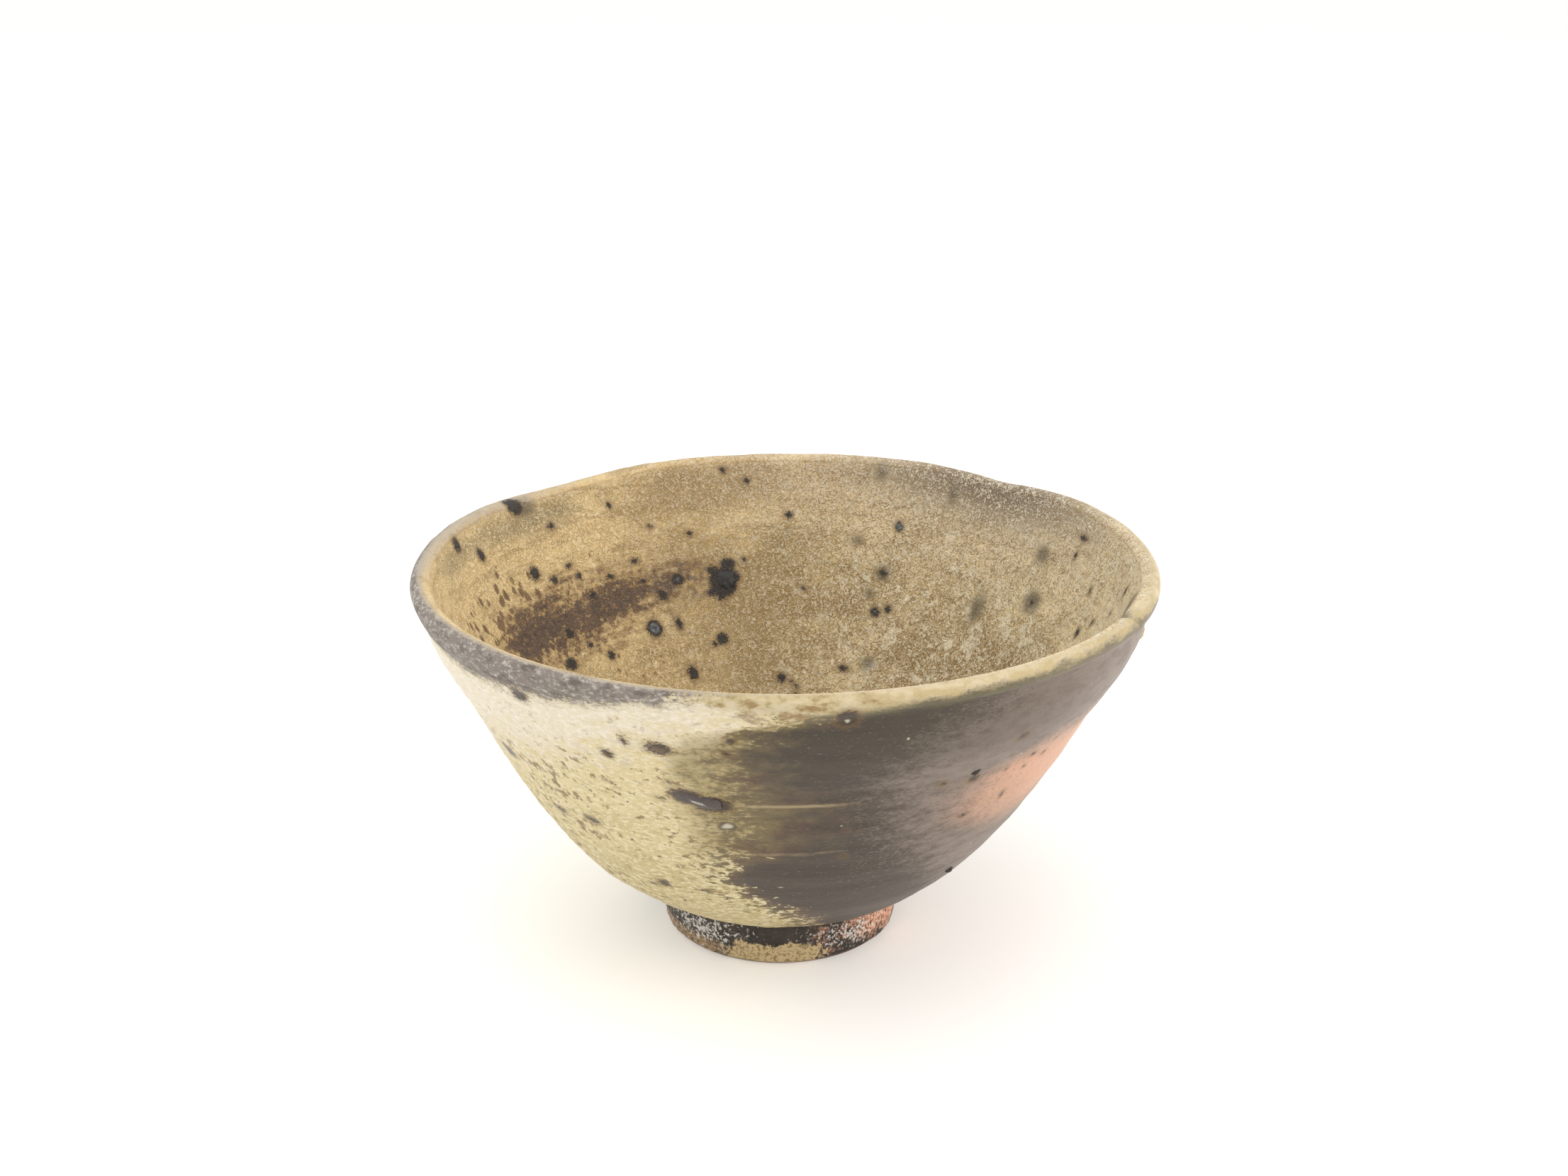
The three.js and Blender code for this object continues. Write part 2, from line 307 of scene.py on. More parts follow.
def spot_depth(points, spots, side):
    """How deep each point lies inside the nearest spot, in millimetres, and below zero outside them all."""
    bearing, radius, height = around(points)
    depth = np.full(len(points), NO_SPOT)
    for spot_bearing, spot_height, half_width, half_height in spots:
        away = turned(bearing, spot_bearing)
        across = away * radius * math.pi / 180
        miss = across**2 + (height - spot_height) ** 2
        miss = miss + TOO_FAR * (abs(away) > SPOT_SEARCH) - FACE_BIAS * side * radius
        centre = points[np.argmin(miss)]
        turn = math.radians(spot_bearing)
        sideways = (points - centre) @ (math.cos(turn), math.sin(turn), 0)
        upwards = np.sqrt(np.maximum(((points - centre) ** 2).sum(1) - sideways**2, 0))
        reach = np.hypot(sideways / half_width, upwards / half_height)
        depth = np.maximum(depth, (1 - reach) * min(half_width, half_height))
    return depth


def patch(points, middle, height_at, half_width, half_height):
    """1 at the middle of a patch, 0 at its edge and below zero outside. Its outline is a soft-cornered box."""
    bearing, _, height = around(points)
    away = turned(bearing, middle) / half_width
    up = (height - height_at) / half_height
    return 1 - (abs(away) ** PATCH_CORNER + abs(up) ** PATCH_CORNER) ** (1 / PATCH_CORNER)


def along(value, stops):
    """Straight lines through a few points, each a place and the value there."""
    return np.interp(value, *zip(*stops))


def mark(piece, name, amount):
    """Keeps a number for every vertex, which a material then reads by its name."""
    attribute = piece.data.attributes.new(name, "FLOAT", "POINT")
    attribute.data.foreach_set("value", amount.astype(np.float32))


def mark_outside(piece):
    """Lays the fired zones of the outside on a piece, with a patch of painted shade and a painted glint."""
    points = places(piece)
    bearing, radius, height = around(points)
    to_mm = radius * math.pi / 180
    front = (along(height, ASH_EDGE_FRONT) - bearing) * to_mm
    back = (bearing - along(height, ASH_EDGE_BACK)) * to_mm
    ash_depth = np.minimum(front, back) + lumps(points, *ASH_RAGGED)
    mark(piece, "ash", ash_depth)
    mark(piece, "ash_soft", along(height, ASH_SOFTNESS))
    mark(piece, "haze", 1 + ash_depth / along(height, HAZE_WIDTH))
    mark(piece, "ivory", height - along(bearing, IVORY_LIMIT))
    speckled = rise(-bearing, *SPECKLED_FROM) * (1 - SPECKLED_LOSS * rise(-bearing, *SPECKLED_THINS))
    mark(piece, "speckled", speckled * (1 - rise(height, *SPECKLED_TOP)))
    flash_reach = np.where(height > FLASH_HEIGHT, FLASH_ABOVE, FLASH_BELOW)
    flash_reach = flash_reach * (FLASH_NARROW + (1 - FLASH_NARROW) * rise(bearing, *FLASH_WIDENS))
    flash = patch(points, FLASH_BEARING, FLASH_HEIGHT, FLASH_HALF_WIDTH, flash_reach)
    mark(piece, "flash", flash + lumps(points, *FLASH_WAVER))
    mauve_end = MAUVE_FADE * (MAUVE_END - bearing)
    mark(piece, "mauve", np.minimum(bearing - along(height, MAUVE_EDGE), mauve_end))
    for name, place in OUTSIDE_PATCHES.items():
        mark(piece, name, patch(points, *place))
    mark(piece, "lip_grey", along(bearing, GREY_BAND) - below_lip(points))
    mark(piece, "lip_cream", along(bearing, CREAM_BEAD) - below_lip(points))
    mark(piece, "spot", spot_depth(points, OUTSIDE_SPOTS, OUTSIDE))
    mark(piece, "pale", spot_depth(points, PALE_SPOTS_AND_GLINT, OUTSIDE))


mark_outside(wall)

# Fired colours of the outside
CLAY = "#50483f"
CLAY_DARK = "#484039"
CLAY_LIGHT = "#574e44"
# Dark clay for the pits, and also the painted shade under the lip's bead
CLAY_PITS_AND_SHADE = "#4e483c"
CLAY_GRIT = "#8a7f73"
CLAY_WARM = "#70634a"
HAZE_OLIVE = "#827652"
CLAY_RUST = "#6b5646"
SCUFF = "#8f8478"
SCORED_ASH = "#b09c7a"
MAUVE = "#8b7f75"
MAUVE_DEEP = "#796c62"
SALMON = "#dbac8f"
ASH_KHAKI = "#e3d19f"
ASH_STRAW = "#cfbd88"
ASH_IVORY = "#f1e5cb"
ASH_OLIVE = "#a08d5e"
ASH_BROWN = "#856a42"
ASH_PALE_AND_HIGHLIGHT = "#f4e7c2"
IVORY_PALE_AND_HIGHLIGHT = "#fbf3e2"
SPOT_BROWN = "#4c3f33"
# Pale of the shards and chips, and of the painted glint
PALE_SHARD_AND_GLINT = "#cfc7b3"
LIP_GREY = "#8b8178"
LIP_GREY_PALE = "#c8c0b4"
LIP_GREY_DARK = "#655c55"
CREAM = "#bfae82"
CREAM_PALE = "#d3c4a2"
# Olive under the glaze bead's lower edge, partly painted shadow under the bead
CREAM_OLIVE_SHADOW = "#6f684a"
CREAM_OCHRE = "#94744a"
# How matt each of its skins is
CLAY_MATT = 0.42
ASH_MATT = 0.55
GREY_MATT = 0.68
SPOT_MATT = 0.35
# Sizes of its patterns in millimetres, and how much shorter they are upright than along the wheel's turn
STREAK = 14
CLUMP = 3.4
FLAKE = 1.2
GRAIN = 0.65
SPATTER = 1.5
CLOUD = 13
CHIP_CELL = 6
WHEEL_STRETCH = (1, 1, 2.2)
STREAK_STRETCH = (1, 1, 9)
# The largest chip's share of its cell, and the middle value of every noise pattern
CHIP_SHARE = 0.075
NOISE_MIDDLE = 0.5


def linear(colour):
    """A hex sRGB colour as linear red, green, blue and alpha."""
    parts = [int(colour[i:i + 2], 16) / 255 for i in (1, 3, 5)]
    return [c / 12.92 if c <= 0.04045 else ((c + 0.055) / 1.055) ** 2.4 for c in parts] + [1.0]


def add(tree, kind, inputs=None, out=0, stops=None, **settings):
    """Adds a node with its settings, its sockets' values or links, and a ramp's stops, and gives one output."""
    node = tree.nodes.new("ShaderNode" + kind)
    for name, value in settings.items():
        setattr(node, name, value)
    if stops:
        ramp = node.color_ramp.elements
        ramp.remove(ramp[0])
        ramp[0].position = stops[0][0]
        ramp[0].color = linear(stops[0][1])
        for place, colour in stops[1:]:
            ramp.new(place).color = linear(colour)
    for socket, value in (inputs or {}).items():
        if isinstance(value, bpy.types.NodeSocket):
            tree.links.new(value, node.inputs[socket])
        elif isinstance(value, str):
            node.inputs[socket].default_value = linear(value)
        else:
            node.inputs[socket].default_value = value
    return node.outputs[out] if len(node.outputs) else node


def blank(name):
    """A new material and its empty node tree."""
    material = bpy.data.materials.new(name)
    material.use_nodes = True
    material.node_tree.nodes.clear()
    return material, material.node_tree


def millimetres(tree):
    """The piece's own coordinates in millimetres."""
    coords = add(tree, "TexCoord", out="Object")
    return add(tree, "VectorMath", {0: coords, "Scale": 1 / MM}, operation="SCALE")


def stirred(tree, value, *stirs):
    """A value with patterns added to it, each by its own amount, so that its edge breaks up."""
    for pattern, amount in stirs:
        value = add(tree, "Math", {0: pattern, 1: amount, 2: value}, operation="MULTIPLY_ADD")
    return value


def share(tree, value, none_at, most_at, most=1.0, soft=False, within=None):
    """How much of a layer shows, from none of it to the most, and within another share where one is given."""
    limits = {"Value": value, "From Min": none_at, "From Max": most_at, "To Max": most}
    amount = add(tree, "MapRange", limits, interpolation_type="SMOOTHSTEP" if soft else "LINEAR")
    if within is None:
        return amount
    return add(tree, "Math", {0: amount, 1: within}, operation="MULTIPLY")


def laid(tree, under, coats):
    """Lays colours one over another, each by its own share."""
    for amount, coat in coats:
        under = add(tree, "Mix", {0: amount, 6: under, 7: coat}, out=2, data_type="RGBA")
    return under


def surfaced(tree, colour, roughness, relief, strength, depth, gloss):
    """Joins colour, roughness and fine relief, of a depth in millimetres, into the material's surface."""
    bump = add(tree, "Bump", {"Height": relief, "Strength": strength, "Distance": depth * MM})
    skin = {"Base Color": colour, "Roughness": roughness, "Normal": bump}
    shader = add(tree, "BsdfPrincipled", skin | gloss)
    add(tree, "OutputMaterial", {"Surface": shader})


def fired_outside(tree):
    """Colour, roughness and fine relief of the fired outside, worked out from the zones marked on it."""
    mm = millimetres(tree)
    wheel = add(tree, "VectorMath", {0: mm, 1: WHEEL_STRETCH}, operation="MULTIPLY")
    drawn = add(tree, "VectorMath", {0: mm, 1: STREAK_STRETCH}, operation="MULTIPLY")
    zone = {}
    for name in ("ash", "ash_soft", "haze", "ivory", "speckled", "flash", "mauve", "lip_grey", "lip_cream",
                 "spot", "pale", *OUTSIDE_PATCHES):
        zone[name] = add(tree, "Attribute", out="Fac", attribute_name=name)
    streaks, clouds, clumps, flakes, grain, spatter = (
        add(tree, "TexNoise", {"Vector": vector, "Scale": 1 / size, "Detail": detail, "Roughness": roughness})
        for vector, size, detail, roughness in (
            (drawn, STREAK, 5, 0.6), (wheel, CLOUD, 4, 0.55), (wheel, CLUMP, 5, 0.62),
            (wheel, FLAKE, 4, 0.65), (wheel, GRAIN, 3, 0.65), (mm, SPATTER, 3, 0.6),
        )
    )
    uneven, cloudy, flaked, rough = (
        add(tree, "Math", {0: pattern, 1: NOISE_MIDDLE}, operation="SUBTRACT")
        for pattern in (clumps, clouds, flakes, grain)
    )

    # Bare clay, faintly streaked along the wheel's turn, and scuffed
    clay = add(tree, "ValToRGB", {"Fac": streaks}, stops=[(0.3, CLAY_DARK), (0.5, CLAY), (0.7, CLAY_LIGHT)])
    scuff = share(tree, stirred(tree, grain, (zone["scuff"], 0.1)), 0.6, 0.8, 0.7)

    # Flame flash: mauve grey and a salmon heart, painted shade under the lip's bead, with grit, pits and pale
    # chips over all
    mauve = share(tree, stirred(tree, zone["mauve"], (uneven, 20), (rough, 24)), -8, 10, soft=True)
    mauve_tone = add(tree, "ValToRGB", {"Fac": clumps}, stops=[(0.38, MAUVE_DEEP), (0.58, MAUVE)])
    shade_under_bead = share(tree, stirred(tree, zone["shade_under_bead"], (uneven, 0.8)), -0.2, 0.7, 0.4, soft=True)
    flash_at = stirred(tree, zone["flash"], (uneven, 0.3), (cloudy, 0.5), (rough, 0.8))
    heart = share(tree, flash_at, -0.3, 0.6, soft=True)
    pits = share(tree, grain, 0.4, 0.28, 0.6)
    grit = share(tree, grain, 0.6, 0.74, 0.6)
    cells = add(tree, "TexVoronoi", {"Vector": mm, "Scale": 1 / CHIP_CELL}, out="Distance")
    chip = add(tree, "SeparateColor", {0: cells.node.outputs["Color"]}, out="Red")
    chip = add(tree, "Math", {0: chip, 1: CHIP_SHARE}, operation="MULTIPLY")
    chip = add(tree, "Math", {0: chip, 1: cells}, operation="SUBTRACT")
    chip = share(tree, chip, 0.02, 0.045, 0.7)

    # Thin ash that hazes the clay beyond the coat's edge, and lies thicker in the scored lines
    haze_at = stirred(tree, zone["haze"], (uneven, 1.4), (rough, 0.6))
    haze = share(tree, haze_at, -0.1, 0.75, 0.95, soft=True)
    warmth = share(tree, cloudy, -0.08, 0.08)
    warm = add(tree, "Mix", {0: warmth, 6: CLAY_WARM, 7: CLAY_RUST}, out=2, data_type="RGBA")
    dusted = share(tree, haze_at, 0.4, 1.1, 0.9, soft=True)
    height = stirred(tree, add(tree, "SeparateXYZ", {0: mm}, out="Z"), (cloudy, 1.2))
    from_line = add(tree, "Math", {0: height, 1: SCORE_HEIGHT}, operation="SUBTRACT")
    from_line = add(tree, "Math", {0: from_line, 1: SCORE_HALF_PITCH}, operation="PINGPONG")
    scored = share(tree, stirred(tree, zone["scored"], (uneven, 1.2)), 0, 0.5, 0.85)
    line = share(tree, from_line, 0.5, 0.1, within=scored)
    clay = laid(tree, clay, [
        (scuff, SCUFF), (mauve, mauve_tone), (shade_under_bead, CLAY_PITS_AND_SHADE), (heart, SALMON), (pits, CLAY_PITS_AND_SHADE),
        (grit, CLAY_GRIT), (chip, PALE_SHARD_AND_GLINT), (haze, warm), (dusted, HAZE_OLIVE), (line, SCORED_ASH),
    ])

    # Ash coat: khaki below, ivory above, smudged olive, with pale bumps partly painted as highlights, fine pits
    # and a spatter of brown
    ivory = share(tree, stirred(tree, zone["ivory"], (uneven, 30)), -7, 7, soft=True)
    on_khaki = add(tree, "MapRange", {"Value": ivory, "To Min": 1, "To Max": 0.35})
    low = share(tree, stirred(tree, height, (cloudy, 60)), 42, 20)
    olive = share(tree, clumps, 0.53, 0.69, 0.65, within=on_khaki)
    # The pale flecks are partly pale ash and partly painted highlights on its bumps
    pale = share(tree, flakes, 0.48, 0.6, 0.85)
    paler_and_highlight = add(tree, "Mix", {0: ivory, 6: ASH_PALE_AND_HIGHLIGHT, 7: IVORY_PALE_AND_HIGHLIGHT}, out=2, data_type="RGBA")
    pitted = add(tree, "Math", {0: pits, 1: on_khaki}, operation="MULTIPLY")
    fleck_at = stirred(tree, spatter, (cloudy, 0.4), (zone["speckled"], 0.07))
    fleck = share(tree, fleck_at, 0.61, 0.7, 0.85, within=on_khaki)
    stained = share(tree, stirred(tree, clumps, (zone["stain"], 0.18)), 0.56, 0.68, 0.75)
    thin = share(tree, zone["ash"], 9, 0, within=zone["ash_soft"])
    thin = share(tree, thin, 0.7, 3, 0.75)
    ash = laid(tree, ASH_KHAKI, [
        (low, ASH_STRAW), (ivory, ASH_IVORY), (olive, ASH_OLIVE), (pale, paler_and_highlight), (pitted, ASH_OLIVE),
        (fleck, ASH_BROWN), (stained, CREAM_OCHRE), (thin, ASH_OLIVE),
    ])

    # Where the ash has taken: crisp and ragged near the foot, and broken and soft at the shoulder
    ash_at = stirred(tree, zone["ash"], (uneven, 22), (flaked, 28))
    ash_at = add(tree, "Math", {0: ash_at, 1: zone["ash_soft"]}, operation="DIVIDE")
    taken = share(tree, ash_at, -1, 1, soft=True)

    # Cream glaze bead with ochre stains, and the dry grey band on the left of the lip
    cream_at = stirred(tree, zone["lip_cream"], (uneven, 3), (rough, 1.2))
    on_clay = add(tree, "MapRange", {"Value": taken, "To Min": 1, "To Max": 0.1})
    # The bead's olive lower edge is partly painted shadow under the bead
    olive_edge_and_shadow = share(tree, cream_at, -2.2, -0.3, 0.8, soft=True, within=on_clay)
    cream = add(tree, "ValToRGB", {"Fac": clumps}, stops=[(0.4, CREAM_PALE), (0.55, CREAM)])
    ochre = share(tree, stirred(tree, clumps, (zone["stain"], 0.1)), 0.54, 0.66, 0.85)
    cream = add(tree, "Mix", {0: ochre, 6: cream, 7: CREAM_OCHRE}, out=2, data_type="RGBA")
    bead = share(tree, cream_at, -0.6, 0.9, soft=True)
    paled = share(tree, flakes, 0.5, 0.64, 0.9)
    sooty = share(tree, clumps, 0.5, 0.38, 0.85)
    grey = laid(tree, LIP_GREY, [(paled, LIP_GREY_PALE), (sooty, LIP_GREY_DARK)])
    grey_at = stirred(tree, zone["lip_grey"], (uneven, 4), (rough, 4))
    fringe = share(tree, grey_at, -1.3, 0.3, 0.55)
    dry = share(tree, grey_at, -0.4, 0.8, soft=True)

    # Iron spots, pale shards of kiln brick in their pits, and one painted glint on a drip under the lip
    spot_at = stirred(tree, zone["spot"], (rough, 2.2))
    halo = share(tree, spot_at, -0.7, 0.3, 0.6)
    spot = share(tree, spot_at, -0.2, 0.6, soft=True)
    pit = share(tree, zone["pale"], -0.5, -0.1, 0.7)
    shard_and_glint = share(tree, zone["pale"], 0, 0.4)
    colour = laid(tree, clay, [
        (taken, ash), (olive_edge_and_shadow, CREAM_OLIVE_SHADOW), (bead, cream), (fringe, ASH_OLIVE), (dry, grey),
        (halo, ASH_BROWN), (spot, SPOT_BROWN), (pit, CLAY_PITS_AND_SHADE), (shard_and_glint, PALE_SHARD_AND_GLINT),
    ])

    roughness = add(tree, "MapRange", {"Value": taken, "To Min": CLAY_MATT, "To Max": ASH_MATT})
    roughness = add(tree, "Mix", {0: dry, 2: roughness, 3: GREY_MATT})
    roughness = add(tree, "Mix", {0: spot, 2: roughness, 3: SPOT_MATT})
    relief = add(tree, "Mix", {0: taken, 2: streaks, 3: clumps})
    return colour, roughness, stirred(tree, relief, (grain, 0.6))


# Stoneware fired bare: a dense, satin surface with drawn-out streaks, where only the sheen moves as it turns
stoneware, tree = blank("Wood-fired stoneware")
surfaced(tree, *fired_outside(tree), strength=0.6, depth=0.15, gloss={"Specular IOR Level": 0.22})
wall.data.materials.append(stoneware)
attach(wall, "root")
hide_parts("bowl_wall")

# Foot ring
# A low ring of the same clay, luted on a little off the axis and trimmed by hand, which stood in the ash bed.
# It is dark and crusted with fused grit, cream where ash ran on it and rust-red where the flame reached it.
FOOT_CUTS = (2.4, 4.0, 5.6)
FOOT_STEPS = 7
FOOT_LUTE = 0.5
FOOT_LUTE_FROM = 0.6
FOOT_CRUST = (0.16, 2.6, 1, 3)
FOOT_PITS = 0.1
FOOT_PIT_NOISE = (1, 1.1)
FOOT_PIT_SHIFT = 40
FOOT_PIT_RANGE = (0.25, 0.6)
# Heights between which the crust sets in, and between which the foot is worn bare
FOOT_CRUST_FROM = (0.02, 0.9)
FOOT_WORN = (0.05, 0.7)

foot = copied("foot_ring", "luted_foot")
foot_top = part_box("foot_ring")[1].z / MM
bpy.ops.object.mode_set(mode="EDIT")
for height in FOOT_CUTS:
    bpy.ops.mesh.select_all(action="SELECT")
    bpy.ops.mesh.bisect(plane_co=(0, 0, height * MM), plane_no=(0, 0, 1))
bpy.ops.mesh.select_all(action="SELECT")
bpy.ops.mesh.subdivide(number_cuts=FOOT_STEPS)
bpy.ops.object.mode_set(mode="OBJECT")
points = places(foot)
pitting = rise(lumps(points + FOOT_PIT_SHIFT, *FOOT_PIT_NOISE), *FOOT_PIT_RANGE)
crust = lumps(points, *FOOT_CRUST) - FOOT_PITS * pitting
swell(foot, crust * rise(points[:, 2], *FOOT_CRUST_FROM))
points = places(foot)
points[:, 2] += FOOT_LUTE * rise(points[:, 2], foot_top - FOOT_LUTE_FROM, foot_top)
put(foot, points)

# Patches on the foot: bearing, height, half width in degrees, half height
FOOT_PATCHES = {
    "cream": [(-6, 1.4, 23, 3.2)],
    "rust": [(66, 5.9, 42, 4.8), (-150, 4, 45, 4)],
    "brown": [(-58, 1, 36, 2.4)],
    "sparkle": [(-42, 5, 24, 3.2), (36, 4.6, 26, 3)],
}


def patches(points, spread):
    """The nearest of several patches at each point."""
    return np.max([patch(points, *place) for place in spread], axis=0)


points = places(foot)
for name, spread in FOOT_PATCHES.items():
    mark(foot, name, patches(points, spread))
mark(foot, "ground", 1 - rise(points[:, 2], *FOOT_WORN))

FOOT_CLAY = "#2d2723"
FOOT_CLAY_LIGHT = "#4b4138"
FOOT_ASH = "#d6bf92"
FOOT_ASH_DARK = "#8d754c"
FOOT_RUST_RED = "#eaa780"
FOOT_RUST_PALE = "#f3dfd0"
FOOT_TAN = "#b0926d"
FOOT_GLINT = "#e6e2dc"
FOOT_BARE = "#9a7a5f"
FOOT_BARE_SHARE = 0.8
FOOT_CLOUD = 3.5
CRUST_SIZE = 0.6
GRAIN_SPAN = {"From Min": 0.3, "From Max": 0.7}

# Stoneware crusted with fused ash: rough and dark, with glassy points that catch the light, their glints partly
# painted
crusted, tree = blank("Ash-crusted stoneware")
mm = millimetres(tree)
clouds = add(tree, "TexNoise", {"Vector": mm, "Scale": 1 / FOOT_CLOUD, "Detail": 5, "Roughness": 0.6})
grain = add(tree, "TexNoise", {"Vector": mm, "Scale": 1 / CRUST_SIZE, "Detail": 4, "Roughness": 0.7})
zone = {}
for name in ("ground", *FOOT_PATCHES):
    zone[name] = add(tree, "Attribute", out="Fac", attribute_name=name)
clay_tone = add(tree, "ValToRGB", {"Fac": clouds}, stops=[(0.35, FOOT_CLAY), (0.7, FOOT_CLAY_LIGHT)])
tan = share(tree, stirred(tree, zone["brown"], (clouds, 0.8)), 0.3, 0.8, 0.85)
tan_tone = add(tree, "ValToRGB", {"Fac": grain},
               stops=[(0.36, FOOT_CLAY_LIGHT), (0.46, FOOT_TAN), (0.56, FOOT_TAN), (0.66, FOOT_GLINT)])
rust = share(tree, stirred(tree, zone["rust"], (clouds, 2), (grain, 1)), 1.4, 2.1, soft=True)
rust_tone = add(tree, "ValToRGB", {"Fac": grain},
                stops=[(0.4, FOOT_CLAY), (0.47, FOOT_RUST_RED), (0.54, FOOT_RUST_RED), (0.62, FOOT_RUST_PALE)])
# Painted glints: pale points in the crust's colour stand in for its sparkle, partly white grit
glint = share(tree, stirred(tree, grain, (zone["sparkle"], 0.14)), 0.57, 0.66)
cream = share(tree, stirred(tree, zone["cream"], (clouds, 1.3), (grain, 0.8)), 1.08, 1.22)
ash_tone = add(tree, "ValToRGB", {"Fac": grain}, stops=[(0.38, FOOT_ASH_DARK), (0.52, FOOT_ASH)])
bare = add(tree, "Math", {0: zone["ground"], 1: FOOT_BARE_SHARE}, operation="MULTIPLY")
base = laid(tree, clay_tone, [
    (tan, tan_tone), (rust, rust_tone), (glint, FOOT_GLINT), (cream, ash_tone), (bare, FOOT_BARE),
])
matt = add(tree, "MapRange", {"Value": grain, "To Min": 0.6, "To Max": 0.35} | GRAIN_SPAN)
surfaced(tree, base, matt, grain, strength=0.7, depth=0.25, gloss={"Specular IOR Level": 0.35})
foot.data.materials.append(crusted)
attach(foot, "root")
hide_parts("foot_ring")

# Ash coat
# Wood ash that settled on the left of the bowl in the kiln and melted into a thin, uneven glaze.
# It is thick in the middle, thins out to nothing at its ragged edge, and is grown from the wall's own surface.
VERTICES = (True, False, False)
ASH_PROUD = 0.42
ASH_SUNK = 0.25
ASH_ROOT = 0.4
ASH_UNEVEN = 0.1
ASH_LUMPS = (1, 2.4, 2.2)
ASH_BUMPS = (0.6, 1.3, 2)
ASH_BUMP_SHIFT = 70
ASH_HEM = 9
ASH_HEM_FADE = 3
ASH_TOP_BELOW_LIP = 1.5
ASH_TOP_FADE = 2
ASH_MARGIN = -2
ASH_EDGE_FADE = (-1.5, 3.5)


def read(piece, name):
    return values(piece.data.attributes[name].data, "value", 1)[:, 0]


ash = linked("ash_coat", wall.data)
centres = values(ash.data.polygons, "center", 3) / MM
first_vertex = np.array([face.vertices[0] for face in ash.data.polygons])
coated = facing_out(ash.data.polygons, "center")
coated &= read(ash, "ash")[first_vertex] > ASH_MARGIN
coated &= centres[:, 2] > ASH_HEM
coated &= below_lip(centres) > ASH_TOP_BELOW_LIP
select_only(ash.data.polygons, ~coated, FACES)
bpy.ops.mesh.delete(type="FACE")
bpy.ops.object.mode_set(mode="OBJECT")

# Only the sheet that reaches furthest left is kept, without its loose islands
leftmost = np.argmin(places(ash)[:, 0])
select_only(ash.data.vertices, np.arange(len(ash.data.vertices)) == leftmost, VERTICES)
bpy.ops.mesh.select_linked()
bpy.ops.mesh.select_all(action="INVERT")
bpy.ops.mesh.delete(type="VERT")
bpy.ops.object.mode_set(mode="OBJECT")

surface_count = len(ash.data.vertices)
thickness = ash.modifiers.new("Thickness", "SOLIDIFY")
thickness.thickness = ASH_ROOT * MM
thickness.offset = -1
bpy.ops.object.modifier_apply(modifier=thickness.name)
points = places(ash)
edge_fade = rise(read(ash, "ash"), *ASH_EDGE_FADE) * rise(points[:, 2], ASH_HEM, ASH_HEM + ASH_HEM_FADE)
edge_fade *= rise(below_lip(points), ASH_TOP_BELOW_LIP, ASH_TOP_BELOW_LIP + ASH_TOP_FADE)
bumps = lumps(points, *ASH_LUMPS) + lumps(points + ASH_BUMP_SHIFT, *ASH_BUMPS)
height = (ASH_PROUD + ASH_SUNK) * edge_fade - ASH_SUNK
height += ASH_UNEVEN * edge_fade * bumps
on_surface = np.arange(len(points)) < surface_count
swell(ash, height * on_surface)

# Natural ash glaze: a dry, eggshell skin with small bumps and hollows
ash_glaze, tree = blank("Natural ash glaze")
surfaced(tree, *fired_outside(tree), strength=0.9, depth=0.25, gloss={"Specular IOR Level": 0.4})
ash.data.materials.append(ash_glaze)
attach(ash, "root")
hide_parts("ash_glaze")

# Inside glaze
# The ochre ash glaze that lines the bowl, poured and swilled round before firing, and peppered by the kiln.
# It is yellow and spotted on the left, with a smear of char, and greyer and grainier on the right.
INSIDE_LEVELS = 2
INSIDE_RINGS = 0.06
INSIDE_RINGS_FROM = (18, 30)
INSIDE_SWELL = (0.12, 16, 1.5)
INSIDE_GRAIN = (0.06, 1.4)
PEBBLE = 0.14
PEBBLE_RANGE = (-0.1, 0.5)
INNER_SLOPE = 0.1
INSIDE_EDGE_SUNK = 0.4
INSIDE_EDGE_SINKS = (0.5, 1.3)
INSIDE_EDGE_RUN = 2.3
INSIDE_EDGE_RUNS = (2.6, 5.5)
FLARE = math.radians(65)
# The lip is higher at the back, but for a dip at the back right, and the rise fades out below it
LIP_LIFT = 0.45
LIP_LIFT_FROM = (-0.2, 0.5)
LIP_LIFT_FADE = (0.7, 4.5)
LIP_DIP = 0.7
LIP_DIP_BEARING = 138
LIP_DIP_HALF_WIDTH = 13
